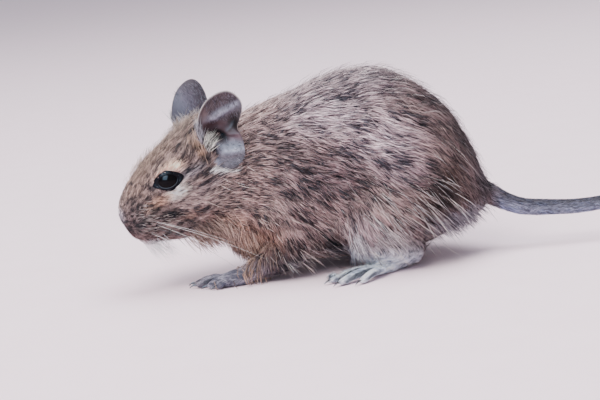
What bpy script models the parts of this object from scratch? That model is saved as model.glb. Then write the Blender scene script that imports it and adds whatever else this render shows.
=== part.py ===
"""A degu crouched on all four feet, its head turned a little to its left.

The model is still and life size. Lengths below are millimetres and angles are
degrees, and they become metres and radians only where a mesh is made. X runs
from the nose to the tail, Y from the animal's left to its right, and Z up from
the floor. The solids reach out to the tips of the coat.
"""

import math
import random

import bmesh
import bpy
from mathutils import Matrix, Vector
from mathutils.bvhtree import BVHTree

MM = 0.001
GAP = 0.3
SEED = 7

# Fine meshing of the flesh
VOXEL = 1.0
SMOOTH_STEPS = 4
TORSO_DETAIL = 0.036
HEAD_DETAIL = 0.080
LIMB_DETAIL = 0.030
CUT_VOXEL = 1.6
CUT_DETAIL = 0.06

# The trunk: along, aside, height of the widest line, reach up, reach down, half width
TRUNK = (
    (-32.0, -5.0, 37.0, 16.0, 17.0, 12.0),
    (-22.0, -2.0, 35.0, 24.0, 25.0, 17.0),
    (-12.0, 0.0, 33.0, 29.6, 28.0, 20.5),
    (0.0, 0.0, 32.0, 34.8, 28.4, 23.0),
    (12.0, 0.0, 31.0, 39.9, 27.4, 25.5),
    (24.0, 0.0, 30.0, 42.9, 26.2, 27.5),
    (34.0, 0.0, 29.5, 42.3, 25.0, 28.5),
    (44.0, 0.0, 29.0, 37.6, 23.0, 27.5),
    (52.0, 0.0, 27.5, 32.4, 18.5, 24.5),
    (58.5, 0.0, 26.0, 26.4, 13.9, 20.0),
    (63.5, 0.0, 24.0, 18.0, 9.4, 14.0),
    (67.0, 0.0, 22.5, 9.6, 5.8, 8.0),
    (69.6, 0.0, 21.3, 4.5, 4.0, 4.2),
)

TRUNK_FULLNESS = 2.15
HEAD_FULLNESS = 2.4

# The head's own frame: its middle between the ears, and how it is turned
HEAD_AT = (-31.5, -3.0, 45.5)
HEAD_YAW = 20.0
HEAD_PITCH = 26.0
HEAD_ROLL = 3.0

# The head: forward, aside, height of the widest line, reach up, reach down, half width
HEAD = (
    (-12.0, 0.0, 0.0, 12.0, 14.0, 12.0),
    (-5.0, 0.0, -1.0, 16.6, 19.0, 13.4),
    (3.0, 0.0, -2.0, 17.9, 20.5, 14.2),
    (10.0, 0.0, -3.0, 17.8, 19.5, 14.0),
    (17.0, 0.0, -4.0, 17.4, 18.2, 13.1),
    (24.0, 0.0, -4.5, 16.0, 15.2, 11.3),
    (30.0, 0.0, -4.5, 13.8, 12.0, 9.4),
    (34.5, 0.0, -4.4, 11.2, 9.6, 8.0),
    (37.6, 0.0, -3.8, 7.6, 7.6, 6.3),
    (39.6, 0.0, -2.6, 3.0, 4.6, 3.8),
)
CHEEK = ((12.0, 8.6, -7.5), (11.0, 6.4, 10.0))
WHISKER_PAD = ((32.5, 4.4, -5.5), (6.6, 4.6, 6.2))
BROW = ((15.5, 8.0, 7.4), (8.0, 4.0, 3.8))
CHIN = ((31.5, 0.0, -12.0), (6.4, 5.0, 3.6))

# The eye, its lids and the muzzle's openings, in the head's frame
EYE_RADIUS = 4.6
EYE_AT = (18.9, 8.5, 4.5)
EYE_OUT = (0.24, 0.94, 0.20)
LID_LENGTH = 5.2
LID_HEIGHT = 3.9
LID_TILT = 17.0
LID_STEPS = 22
# Across a lid from its free edge: share of its reach, and height off the eyeball
LID_SECTION = ((0.72, -0.6), (0.82, 1.0), (0.98, 0.9), (1.25, -1.8))
NOSTRIL_AT = (39.0, 1.6, -1.4)
NOSTRIL_RADIUS = 0.75
MOUTH_BACK = 31.0
MOUTH_SWING = 82.0
MOUTH_HEIGHT = (-8.2, -10.0)
MOUTH_WIDTH = 0.9
MOUTH_DEPTH = 1.1
LIP_THICK = 1.1

# The ear: its middle in the head's frame, the way it opens and the way it stands
EAR_AT = (-4.5, 17.5, 8.0)
EAR_OUT = (0.34, 0.93, 0.10)
EAR_UP = (-0.25, 0.0, 0.95)
EAR_THICK = 0.8
EAR_DEPTH = 4.2
EAR_ROOT = 3.4
EAR_LOWER_LIFT = 0.9
EAR_TUCK = 3.2
EAR_TUCK_AT = 322.0
EAR_STEPS = 40
EAR_RINGS = (0.3, 0.62, 0.88, 1.0)
# The ear's outline about its middle: angle from the front edge, turning up, and reach
EAR_OUTLINE = (
    (0.0, 8.8), (20.0, 9.5), (45.0, 11.0), (65.0, 13.2), (85.0, 15.6), (107.0, 17.4),
    (120.0, 16.4), (133.0, 13.7), (141.0, 9.8), (150.0, 6.6), (175.0, 5.9), (214.0, 7.4),
    (235.0, 9.4), (255.0, 10.8), (280.0, 11.6), (308.0, 10.4), (335.0, 9.2),
)

# The limbs of the left side: along, outward, height, half thickness along, half thickness across
THIGH = (
    (50.0, 12.0, 42.0, 13.0, 9.0),
    (43.0, 15.5, 35.0, 18.5, 13.0),
    (33.0, 18.0, 27.0, 18.0, 12.6),
    (23.0, 19.5, 19.0, 12.5, 10.0),
    (15.5, 19.5, 13.0, 6.0, 6.0),
)
SHANK = (
    (17.0, 19.5, 14.0, 7.0, 7.0),
    (28.0, 19.8, 10.0, 7.0, 7.0),
    (37.0, 19.0, 7.6, 5.4, 5.4),
    (41.5, 18.2, 6.0, 4.0, 4.2),
)
ARM_LEFT = (
    (-12.0, 11.0, 36.0, 9.0, 7.0),
    (-8.0, 15.0, 27.0, 11.0, 8.4),
    (-4.0, 16.8, 17.0, 9.0, 7.4),
    (-6.0, 17.0, 10.5, 7.4, 6.4),
    (-13.0, 16.8, 7.2, 5.6, 5.2),
    (-19.0, 16.4, 5.2, 3.8, 3.9),
)
ARM_RIGHT_BACK = 21.0
SHOULDER_SHARE = 0.4

# The feet in a frame of their own: ahead and outward of the wrist or heel, on the floor
FOREFOOT_AT = (-18.6, 16.6)
FOREFOOT_TURN = 3.0
FOREFOOT_SIZE = (19.0, 9.6)
FOREFOOT_CLAW = 2.6
FOREFOOT_TOES = (
    (24.6, -4.4, 2.9), (24.2, -0.8, 3.1), (20.0, 3.0, 3.0), (16.6, 5.6, 2.6), (9.4, -5.6, 1.8),
)
HINDFOOT_AT = (40.6, 12.2)
HINDFOOT_TURN = 33.0
HINDFOOT_SIZE = (34.0, 9.4)
HINDFOOT_CLAW = 3.0
HINDFOOT_TOES = (
    (35.6, -6.8, 2.9), (40.4, -2.4, 3.3), (40.4, 3.4, 3.3), (34.6, 8.4, 3.0), (24.0, -7.6, 2.2),
)
TOE_ROOT = 0.56
PALM_STEPS = 6
PALM_SIDES = 12

# The tail: along, aside, height, half thickness
TAIL = (
    (69.4, 0.0, 21.2, 3.9),
    (76.0, 0.0, 17.4, 3.35),
    (82.0, 0.0, 15.0, 3.15),
    (92.0, 0.0, 13.7, 2.9),
    (104.0, 0.0, 13.1, 2.7),
    (118.0, 0.3, 14.2, 2.5),
    (132.0, 1.0, 16.4, 2.3),
    (146.0, 2.2, 19.2, 2.1),
    (160.0, 3.8, 22.4, 1.9),
    (174.0, 5.6, 26.0, 1.7),
)
TAIL_CUTS = (0.0, 0.26, 0.46, 0.66, 1.0)
TAIL_NAMES = ("tail_base", "tail_middle", "tail_end")
BRUSH_LOCKS = 32
BRUSH_LENGTH = (9.5, 14.0)
BRUSH_WIDTH = 2.4
BRUSH_THICK = 0.8
BRUSH_SPLAY = (10.0, 20.0)

# Thin cuts between the head, the neck and the torso: a point and the way ahead
HEAD_CUT = ((-23.5, 0.0, 38.0), (-0.955, -0.10, 0.28))
NECK_CUT = ((-11.0, 0.0, 38.0), (-0.965, 0.0, 0.26))

# What each limb takes of the body: how far its cut stands off the limb along, across and outward
THIGH_CUT = (1.5, 2.0, 6.0)
SHANK_CUT = (1.5, 1.5, 0.5)
ARM_CUT = (1.2, 1.6, 2.0)

COLOURS = {
    "coat": (0.205, 0.155, 0.125),
    "ear": (0.150, 0.110, 0.115),
    "eye": (0.008, 0.008, 0.010),
    "foot": (0.330, 0.300, 0.300),
    "tail": (0.110, 0.105, 0.115),
    "brush": (0.018, 0.015, 0.014),
}
FINISH = {"eye": 0.06, "ear": 0.55}
FUR_ROUGHNESS = 0.85
SHARP_ANGLE = 40.0


def clear_scene():
    for old in list(bpy.data.objects):
        bpy.data.objects.remove(old, do_unlink=True)


def mesh_object(name, points, faces):
    """A closed mesh from points in millimetres, its faces turned outward."""
    mesh = bpy.data.meshes.new(name)
    mesh.from_pydata([Vector(p) * MM for p in points], [], faces)
    shell = bmesh.new()
    shell.from_mesh(mesh)
    bmesh.ops.recalc_face_normals(shell, faces=shell.faces)
    shell.to_mesh(mesh)
    shell.free()
    obj = bpy.data.objects.new(name, mesh)
    bpy.context.collection.objects.link(obj)
    return obj


def between(rows, t):
    """The row at t, from 0 to 1, on a smooth curve through all the rows."""
    place = min(max(t, 0.0), 1.0) * (len(rows) - 1)
    i = min(int(place), len(rows) - 2)
    f = place - i
    before, here = rows[max(i - 1, 0)], rows[i]
    after, last = rows[i + 1], rows[min(i + 2, len(rows) - 1)]
    return [
        0.5 * (2 * b + (c - a) * f + (2 * a - 5 * b + 4 * c - d) * f * f + (3 * b - a - 3 * c + d) * f ** 3)
        for a, b, c, d in zip(before, here, after, last)
    ]


def section(middle, across, upright, half, up, down, sides, fullness=2.0):
    """A ring of points about a middle, rounder or squarer by its fullness."""
    ring = []
    for j in range(sides):
        angle = 2 * math.pi * j / sides
        c, s = math.cos(angle), math.sin(angle)
        c = math.copysign(abs(c) ** (2 / fullness), c)
        s = math.copysign(abs(s) ** (2 / fullness), s)
        ring.append(middle + across * (half * c) + upright * ((up if s > 0 else down) * s))
    return ring


def loft(name, rings):
    """A closed tube through rings of one count, with its two ends filled."""
    count = len(rings[0])
    points = [p for ring in rings for p in ring]
    faces = [
        (i * count + j, i * count + (j + 1) % count, (i + 1) * count + (j + 1) % count, (i + 1) * count + j)
        for i in range(len(rings) - 1)
        for j in range(count)
    ]
    last = (len(rings) - 1) * count
    faces.append(tuple(reversed(range(count))))
    faces.append(tuple(last + j for j in range(count)))
    return mesh_object(name, points, faces)


def upright_loft(name, rows, frame, steps, fullness, sides=28):
    """A body whose sections all stand square to the frame's first axis."""
    across, upright = frame.to_3x3().col[1], frame.to_3x3().col[2]
    rings = []
    for i in range(steps + 1):
        s, aside, middle, up, down, half = between(rows, i / steps)
        place = frame @ Vector((s, aside, middle))
        rings.append(section(place, across, upright, half, up, down, sides, fullness))
    return loft(name, rings)


def bent_rings(rows, side, steps, sides, start=0.0, end=1.0, extra=0.0):
    """Rings square to a bent line, from rows of along, outward, height and two half sizes."""
    rings = []
    for i in range(steps + 1):
        t = start + (end - start) * i / steps
        x, y, z, tall, wide = between(rows, t)
        ahead = Vector(between(rows, min(t + 0.01, 1.0))[:3])
        behind = Vector(between(rows, max(t - 0.01, 0.0))[:3])
        along = ahead - behind
        along = Vector((along.x, along.y * side, along.z)).normalized()
        across = (Vector((0, 1, 0)) - along * along.y).normalized()
        upright = along.cross(across)
        place = Vector((x, y * side, z))
        rings.append(section(place, across, upright, wide + extra, tall + extra, tall + extra, sides))
    return rings


def bent_loft(name, rows, side, steps=8, sides=14, extra=0.0):
    return loft(name, bent_rings(rows, side, steps, sides, extra=extra))


def ball(name, middle, radii, frame=None, rounds=3):
    """An ellipsoid, its half sizes along the frame's axes."""
    frame = frame or Matrix.Identity(4)
    shell = bmesh.new()
    bmesh.ops.create_icosphere(shell, subdivisions=rounds, radius=1.0)
    points = [frame @ Vector([m + r * c for m, r, c in zip(middle, radii, v.co)]) for v in shell.verts]
    faces = [tuple(v.index for v in f.verts) for f in shell.faces]
    shell.free()
    return mesh_object(name, points, faces)


def half_space(name, point, ahead, shift=0.0):
    """A large box whose near face lies on a plane and which fills all ahead of it."""
    normal = Vector(ahead).normalized()
    turn = normal.to_track_quat("Z", "Y").to_matrix()
    size = 400.0
    base = Vector(point) + normal * shift
    points = []
    for up in (0.0, size):
        for x, y in ((-1, -1), (1, -1), (1, 1), (-1, 1)):
            points.append(base + turn @ Vector((x * size / 2, y * size / 2, up)))
    faces = [(0, 3, 2, 1), (4, 5, 6, 7), (0, 1, 5, 4), (1, 2, 6, 5), (2, 3, 7, 6), (3, 0, 4, 7)]
    return mesh_object(name, points, faces)


def settle(obj):
    """Make what the modifiers give the object's own mesh."""
    graph = bpy.context.evaluated_depsgraph_get()
    result = bpy.data.meshes.new_from_object(obj.evaluated_get(graph))
    obj.modifiers.clear()
    old = obj.data
    obj.data = result
    bpy.data.meshes.remove(old)


def drop(*objects):
    for obj in objects:
        mesh = obj.data
        bpy.data.objects.remove(obj, do_unlink=True)
        if mesh.users == 0:
            bpy.data.meshes.remove(mesh)


def copy_of(obj, name):
    twin = bpy.data.objects.new(name, obj.data.copy())
    bpy.context.collection.objects.link(twin)
    return twin


def keep_largest(obj):
    """Leave only the object's largest closed surface."""
    shell = bmesh.new()
    shell.from_mesh(obj.data)
    todo, groups = set(shell.verts), []
    while todo:
        seed = todo.pop()
        group, edge = {seed}, [seed]
        while edge:
            for link in edge.pop().link_edges:
                for v in link.verts:
                    if v in todo:
                        todo.remove(v)
                        group.add(v)
                        edge.append(v)
        groups.append(group)
    best = max(groups, key=len)
    bmesh.ops.delete(shell, geom=[v for group in groups if group is not best for v in group], context="VERTS")
    bmesh.ops.dissolve_degenerate(shell, edges=shell.edges, dist=0.00001)
    bmesh.ops.triangulate(shell, faces=shell.faces)
    shell.to_mesh(obj.data)
    shell.free()


def combine(obj, tool, operation, solver="EXACT"):
    """Cut, join or meet one mesh with another, and drop the other."""
    change = obj.modifiers.new("change", "BOOLEAN")
    change.operation = operation
    change.object = tool
    change.solver = solver
    settle(obj)
    drop(tool)


def union(name, pieces, solver="EXACT"):
    """One closed mesh of pieces that cross one another."""
    first, rest = pieces[0], pieces[1:]
    group = bpy.data.collections.new(name)
    for piece in rest:
        group.objects.link(piece)
    change = first.modifiers.new("join", "BOOLEAN")
    change.operation = "UNION"
    change.operand_type = "COLLECTION"
    change.collection = group
    change.solver = solver
    settle(first)
    drop(*rest)
    bpy.data.collections.remove(group)
    first.name = name
    keep_largest(first)
    return first


def swollen(obj, name, amount):
    """A copy whose surface stands out by an amount."""
    twin = copy_of(obj, name)
    change = twin.modifiers.new("swell", "DISPLACE")
    change.strength = amount * MM
    change.mid_level = 0.0
    settle(twin)
    return twin


def soft_whole(name, pieces, voxel, rounds):
    """One smooth skin over pieces that cross one another."""
    bpy.ops.object.select_all(action="DESELECT")
    for piece in pieces:
        piece.select_set(True)
    bpy.context.view_layer.objects.active = pieces[0]
    bpy.ops.object.join()
    whole = pieces[0]
    whole.name = name
    remesh = whole.modifiers.new("skin", "REMESH")
    remesh.mode = "VOXEL"
    remesh.voxel_size = voxel * MM
    settle(whole)
    smooth = whole.modifiers.new("smooth", "SMOOTH")
    smooth.factor = 0.5
    smooth.iterations = rounds
    settle(whole)
    keep_largest(whole)
    return whole


def coarser(obj, name, share):
    """A copy with a share of the faces."""
    twin = copy_of(obj, name)
    thin = twin.modifiers.new("thin", "DECIMATE")
    thin.ratio = share
    settle(twin)
    return twin


def head_frame():
    """The head's frame: forward, to its left and up, with its place."""
    yaw, pitch, roll = (math.radians(a) for a in (HEAD_YAW, HEAD_PITCH, HEAD_ROLL))
    level = Vector((-math.cos(yaw), -math.sin(yaw), 0.0))
    left = Vector((math.sin(yaw), -math.cos(yaw), 0.0))
    forward = level * math.cos(pitch) - Vector((0, 0, math.sin(pitch)))
    up = Vector((0, 0, math.cos(pitch))) + level * math.sin(pitch)
    side = left * math.cos(roll) - up * math.sin(roll)
    crown = up * math.cos(roll) + left * math.sin(roll)
    frame = Matrix((forward, side, crown)).transposed().to_4x4()
    frame.translation = Vector(HEAD_AT)
    return frame


def mirrored(place, side):
    return (place[0], place[1] * side, place[2])


def flesh(frame):
    """Everything of the body that one skin covers, feet, ears and tail apart."""
    pieces = [upright_loft("trunk", TRUNK, Matrix.Identity(4), 48, TRUNK_FULLNESS)]
    pieces.append(upright_loft("skull", HEAD, frame, 36, HEAD_FULLNESS))
    pieces.append(ball("chin", *CHIN, frame))
    for side in (-1, 1):
        for name, (middle, radii) in (("cheek", CHEEK), ("pad", WHISKER_PAD), ("brow", BROW)):
            pieces.append(ball(name, mirrored(middle, side), radii, frame))
        pieces.append(bent_loft("thigh", THIGH, side))
        pieces.append(bent_loft("shank", SHANK, side))
    pieces.append(bent_loft("arm", ARM_LEFT, -1))
    pieces.append(bent_loft("arm", moved_back(ARM_LEFT, ARM_RIGHT_BACK), 1))
    return soft_whole("whole", pieces, VOXEL, SMOOTH_STEPS)


def moved_back(rows, distance):
    """Rows of a limb that stands further back, its root by less than its lower end."""
    last = len(rows) - 1
    moved = []
    for i, row in enumerate(rows):
        share = SHOULDER_SHARE + (1 - SHOULDER_SHARE) * (i / last) ** 2
        moved.append((row[0] + distance * share,) + tuple(row[1:]))
    return moved


def eye_centre(side):
    return mirrored(EYE_AT, side)


def lid_ring(name, frame, side):
    """The two lids as one almond rim that lies on the eyeball."""
    out = Vector(mirrored(EYE_OUT, side)).normalized()
    ahead = (Vector((1, 0, 0)) - out * out.x).normalized()
    up = ahead.cross(out) * (1 if ahead.cross(out).z > 0 else -1)
    tilt = math.radians(LID_TILT)
    ahead, up = ahead * math.cos(tilt) + up * math.sin(tilt), up * math.cos(tilt) - ahead * math.sin(tilt)
    middle = Vector(eye_centre(side))
    count, points = LID_STEPS, []
    for j in range(count):
        angle = 2 * math.pi * j / count
        c, s = math.cos(angle), math.sin(angle)
        reach = Vector((LID_LENGTH * c, LID_HEIGHT * s * (1 - 0.22 * c * c)))
        for share, lift in LID_SECTION:
            flat = reach * share
            rise = math.sqrt(max(EYE_RADIUS ** 2 - flat.length_squared, 0.6)) + lift
            points.append(frame @ (middle + ahead * flat.x + up * flat.y + out * rise))
    faces = []
    for j in range(count):
        for k in range(4):
            a, b = j * 4 + k, j * 4 + (k + 1) % 4
            c, d = ((j + 1) % count) * 4 + (k + 1) % 4, ((j + 1) % count) * 4 + k
            faces.append((a, b, c, d))
    return mesh_object(name, points, faces)


def mouth_line(whole, frame):
    """Points of the mouth's line on the skin, from one corner to the other, with the way out."""
    tree = BVHTree.FromObject(whole, bpy.context.evaluated_depsgraph_get())
    turn = frame.to_3x3()
    line = []
    for i in range(-6, 7):
        swing = i / 6
        angle = math.radians(MOUTH_SWING) * swing
        height = MOUTH_HEIGHT[0] + (MOUTH_HEIGHT[1] - MOUTH_HEIGHT[0]) * swing ** 2
        out = turn @ Vector((math.cos(angle), math.sin(angle), 0.0))
        inside = frame @ Vector((MOUTH_BACK, 0.0, height))
        hit = tree.ray_cast(inside * MM, out)[0] / MM
        line.append((hit, out))
    return line


def mouth_groove(line, upright):
    """A thin slit along the mouth's line."""
    rings = []
    for place, out in line:
        half = upright * (MOUTH_WIDTH / 2)
        edge = place + out * MOUTH_DEPTH
        rings.append([edge + half, edge - half, place - out * MOUTH_DEPTH])
    return loft("mouth", rings)


def lips(line, upright):
    """A soft rim along the mouth's line, which the slit then parts."""
    rings = []
    for i, (place, out) in enumerate(line):
        taper = 1.0 - 0.6 * abs(i / 6 - 1) ** 3
        middle = place - out * (LIP_THICK * 0.45)
        rings.append(section(middle, out, upright, LIP_THICK * taper, LIP_THICK, LIP_THICK, 6))
    return loft("lips", rings)


def ear_reach(angle):
    """The reach of the ear's outline at an angle in degrees, smooth all round."""
    count = len(EAR_OUTLINE)
    here = max(i for i in range(count) if EAR_OUTLINE[i][0] <= angle)
    spots = []
    for step in (-1, 0, 1, 2):
        turns, i = divmod(here + step, count)
        spots.append((EAR_OUTLINE[i][0] + 360.0 * turns, EAR_OUTLINE[i][1]))
    (a, near), (b, start), (c, end), (d, far) = spots
    share = (angle - b) / (c - b)
    leave = (end - near) / (c - a) * (c - b)
    arrive = (far - start) / (d - b) * (c - b)
    rest = 1.0 - share
    return (start * (1 + 2 * share) * rest ** 2 + leave * share * rest ** 2
            + end * share ** 2 * (3 - 2 * share) - arrive * share ** 2 * rest)


def ear_axes(side):
    out = Vector(mirrored(EAR_OUT, side)).normalized()
    up = Vector(mirrored(EAR_UP, side))
    up = (up - out * up.dot(out)).normalized()
    front = up.cross(out) * (1 if up.cross(out).x > 0 else -1)
    return out, up, front


def ear_point(side, degrees, ring, back):
    """A point of the ear's cupped inner face, or of its back, in the head's frame."""
    out, up, front = ear_axes(side)
    angle = math.radians(degrees)
    reach = ear_reach(degrees) * ring
    depth = EAR_DEPTH * (1 - ring ** 2) * (0.7 + 0.3 * math.sin(angle))
    depth += EAR_LOWER_LIFT * ring * min(math.sin(angle), 0.0)
    depth += EAR_TUCK * ring ** 2 * max(math.cos(angle - math.radians(EAR_TUCK_AT)), 0.0) ** 2
    if back:
        depth += EAR_THICK + EAR_ROOT * (1 - ring ** 2)
    flat = front * (reach * math.cos(angle)) + up * (reach * math.sin(angle))
    return Vector(mirrored(EAR_AT, side)) + flat - out * depth


def ear_shell(name, frame, side):
    """A thin cupped ear with a notch behind and a root that thickens toward the head."""
    rings = []
    for back in (False, True):
        shares = reversed(EAR_RINGS) if back else EAR_RINGS
        for ring in shares:
            angles = [360.0 * j / EAR_STEPS for j in range(EAR_STEPS)]
            rings.append([frame @ ear_point(side, degrees, ring, back) for degrees in angles])
    return loft(name, rings)


def foot_frame(place, turn, side):
    """A foot's frame on the floor: ahead, outward and up, from its heel or wrist."""
    angle = math.radians(turn)
    ahead = Vector((-math.cos(angle), side * math.sin(angle), 0.0))
    outward = Vector((math.sin(angle), side * math.cos(angle), 0.0))
    frame = Matrix((ahead, outward, Vector((0, 0, 1)))).transposed().to_4x4()
    frame.translation = Vector((place[0], place[1] * side, 0.0))
    return frame


def framed_loft(name, rows, frame, steps, sides, extra=0.0, point=False):
    """A bent tube whose rows are ahead, outward, height and two half sizes in a frame."""
    rings = []
    for i in range(steps + 1):
        t = i / steps
        x, y, z, tall, wide = between(rows, t)
        along = Vector(between(rows, min(t + 0.02, 1.0))[:3]) - Vector(between(rows, max(t - 0.02, 0.0))[:3])
        along.normalize()
        across = along.cross(Vector((0, 0, 1))).normalized()
        upright = across.cross(along)
        place = Vector((x, y, z))
        ring = section(place, across, upright, wide + extra, tall + extra, tall + extra, sides)
        rings.append([frame @ p for p in ring])
    return loft(name, rings)


def palm_rows(long, wide):
    """The sole's middle part, from inside the limb to the roots of the toes."""
    return (
        (-0.08 * long, 0.0, 8.0, 0.30 * wide, 0.30 * wide),
        (0.06 * long, 0.0, 4.4, 0.36 * wide, 0.36 * wide),
        (0.26 * long, 0.0, 3.0, 0.34 * wide, 0.42 * wide),
        (0.50 * long, 0.0, 2.4, 0.29 * wide, 0.50 * wide),
        (0.66 * long, 0.0, 1.9, 0.20 * wide, 0.44 * wide),
    )


def toe_rows(root, tip, thick):
    """A toe that arches from its root to a pad on the floor."""
    half = thick / 2
    spine = [Vector(root).lerp(Vector(tip), share) for share in (0.0, 0.45, 0.82, 1.0)]
    heights = (half + 1.0, half + 1.5, half + 0.1, half * 0.8)
    widths = (half, half, half * 0.95, half * 0.6)
    return [(p.x, p.y, z, w, w) for p, z, w in zip(spine, heights, widths)]


def claw_rows(tip, ahead, size):
    """A pointed claw that curves down from a toe's tip."""
    reaches = (-0.45, 0.3, 0.75, 1.0)
    heights = (1.5, 1.5, 1.0, 0.45)
    widths = (0.55, 0.42, 0.27, 0.1)
    spots = [Vector(tip) + ahead * (size * reach) for reach in reaches]
    return [(p.x, p.y, z, w, w * 0.85) for p, z, w in zip(spots, heights, widths)]


def foot(name, frame, size, toes, claw_size):
    """A foot with its toes and claws in one body, cut flat where it stands."""
    long, wide = size
    pieces = [framed_loft("palm", palm_rows(long, wide), frame, PALM_STEPS, PALM_SIDES)]
    for ahead, outward, thick in toes:
        root = Vector((min(long, ahead) * TOE_ROOT, outward * 0.6))
        direction = (Vector((ahead, outward)) - root).normalized()
        tip = Vector((ahead, outward)) - direction * claw_size
        pieces.append(framed_loft("toe", toe_rows(root, tip, thick), frame, 4, 7))
        pieces.append(framed_loft("claw", claw_rows(tip, direction, claw_size), frame, 3, 5))
    whole = union(name, pieces)
    combine(whole, half_space("floor", (0, 0, 0), (0, 0, -1)), "DIFFERENCE")
    keep_largest(whole)
    return whole


def tail_rows():
    return [(x, y, z, r, r) for x, y, z, r in TAIL]


def tail_length():
    points = [Vector(between(TAIL, i / 60)[:3]) for i in range(61)]
    return sum((b - a).length for a, b in zip(points, points[1:]))


def tail_piece(name, start, end, steps, sides=12):
    """One length of the tail, short of the next by the gap."""
    half_gap = GAP / 2 / tail_length()
    first = start + half_gap if start > 0 else 0.0
    last = end - half_gap if end < 1 else 1.0
    return loft(name, bent_rings(tail_rows(), 1, steps, sides, first, last))


def brush_lock(index, draw):
    """One flat, tapered, bent lock that leaves the tail backward."""
    share = (index + 0.5) / BRUSH_LOCKS
    t = TAIL_CUTS[3] + 0.03 + (0.965 - TAIL_CUTS[3]) * share ** 0.85
    x, y, z, radius = between(TAIL, t)
    ahead = Vector(between(TAIL, min(t + 0.01, 1.0))[:3])
    along = (ahead - Vector(between(TAIL, t - 0.01)[:3])).normalized()
    across = along.cross(Vector((0, 0, 1))).normalized()
    upright = across.cross(along)
    angle = index * math.radians(137.5)
    outward = across * math.cos(angle) + upright * math.sin(angle)
    flat = along.cross(outward).normalized()
    length = BRUSH_LENGTH[0] + (BRUSH_LENGTH[1] - BRUSH_LENGTH[0]) * share + draw.uniform(-0.8, 0.8)
    splay = math.radians(draw.uniform(*BRUSH_SPLAY) * (1.0 - 0.45 * share))
    place = Vector((x, y, z)) + outward * (radius * 0.45) - along * 1.2
    rings = []
    for i in range(5):
        s = i / 4
        lean = splay * (1.0 - 0.75 * s)
        width = BRUSH_WIDTH * (0.8 + 0.6 * s - 1.25 * s * s)
        thick = BRUSH_THICK * (1.0 - 0.75 * s)
        rings.append([place + flat * (width / 2), place + outward * (thick / 2),
                      place - flat * (width / 2), place - outward * (thick / 2)])
        place = place + (along * math.cos(lean) + outward * math.sin(lean)) * (length / 4)
    return loft("lock", rings)


def tail_brush():
    """The tail's last length with its brush of locks out to their tips."""
    draw = random.Random(SEED)
    pieces = [tail_piece("tail_brush", TAIL_CUTS[3], 1.0, 10, 10)]
    pieces.extend(brush_lock(i, draw) for i in range(BRUSH_LOCKS))
    return union("tail_brush", pieces)


def stood_off(rows, margins):
    """Rows of a limb made thicker and set outward, for the cut round it."""
    along, across, outward = margins
    return [(x, y + outward, z, tall + along, wide + across) for x, y, z, tall, wide in rows]


def limb_regions(side):
    """The cuts that part the limbs of one side from the body."""
    arm = ARM_LEFT if side < 0 else moved_back(ARM_LEFT, ARM_RIGHT_BACK)
    return {
        "foreleg": (stood_off(arm, ARM_CUT),),
        "hindleg": (stood_off(THIGH, THIGH_CUT), stood_off(SHANK, SHANK_CUT)),
    }


def paint(obj, kind):
    material = bpy.data.materials.new(obj.name)
    material.use_nodes = True
    surface = material.node_tree.nodes["Principled BSDF"]
    surface.inputs["Base Color"].default_value = (*COLOURS[kind], 1.0)
    surface.inputs["Roughness"].default_value = FINISH.get(kind, FUR_ROUGHNESS)
    obj.data.materials.clear()
    obj.data.materials.append(material)
    obj.data.shade_smooth()
    obj.data.set_sharp_from_angle(angle=math.radians(SHARP_ANGLE))


def make_head(whole, frame):
    """The head with lids, nostrils and the line of the mouth."""
    head = coarser(whole, "head", HEAD_DETAIL)
    combine(head, half_space("ahead", *HEAD_CUT, GAP / 2), "INTERSECT")
    for side in (-1, 1):
        combine(head, lid_ring("lids", frame, side), "UNION")
        socket = ball("socket", eye_centre(side), [EYE_RADIUS + GAP] * 3, frame)
        combine(head, socket, "DIFFERENCE")
        nostril = ball("nostril", mirrored(NOSTRIL_AT, side), [NOSTRIL_RADIUS] * 3, frame, 2)
        combine(head, nostril, "DIFFERENCE")
    line, upright = mouth_line(whole, frame), frame.to_3x3().col[2]
    combine(head, lips(line, upright), "UNION")
    combine(head, mouth_groove(line, upright), "DIFFERENCE")
    keep_largest(head)
    return head


def make_ears(whole, frame):
    swell = swollen(coarser(whole, "near", HEAD_DETAIL), "swell", GAP)
    ears = []
    for name, side in (("ear_left", 1), ("ear_right", -1)):
        ear = ear_shell(name, frame, side)
        combine(ear, copy_of(swell, "clear"), "DIFFERENCE")
        keep_largest(ear)
        ears.append(ear)
    drop(swell, bpy.data.objects["near"])
    return ears


def limb_cutters():
    """For each limb, the closed shape that parts it from the body."""
    cutters = {}
    for word, side in (("left", -1), ("right", 1)):
        for kind, regions in limb_regions(side).items():
            lofts = [bent_loft("region", rows, side) for rows in regions]
            smooth = soft_whole("smooth", lofts, CUT_VOXEL, SMOOTH_STEPS)
            name = kind + "_" + word
            cutters[name] = coarser(smooth, "cut_" + name, CUT_DETAIL)
            drop(smooth)
    return cutters


def cut_limbs(obj, cutters):
    """Take the limbs and the gap round them out of a mesh."""
    for cutter in cutters:
        combine(obj, swollen(cutter, "clear", GAP), "DIFFERENCE")


def foot_frames():
    """Each foot's name, frame, size, toes and claws."""
    feet = []
    for word, side in (("left", -1), ("right", 1)):
        back = ARM_RIGHT_BACK if side > 0 else 0.0
        wrist = (FOREFOOT_AT[0] + back, FOREFOOT_AT[1])
        fore = foot_frame(wrist, FOREFOOT_TURN, side)
        hind = foot_frame(HINDFOOT_AT, HINDFOOT_TURN, side)
        feet.append(("fore", word, fore, FOREFOOT_SIZE, FOREFOOT_TOES, FOREFOOT_CLAW))
        feet.append(("hind", word, hind, HINDFOOT_SIZE, HINDFOOT_TOES, HINDFOOT_CLAW))
    return feet


def palm_cutter(frame, size):
    """A foot's middle part, larger by the gap."""
    return framed_loft("palm", palm_rows(*size), frame, PALM_STEPS, PALM_SIDES, GAP)


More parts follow.
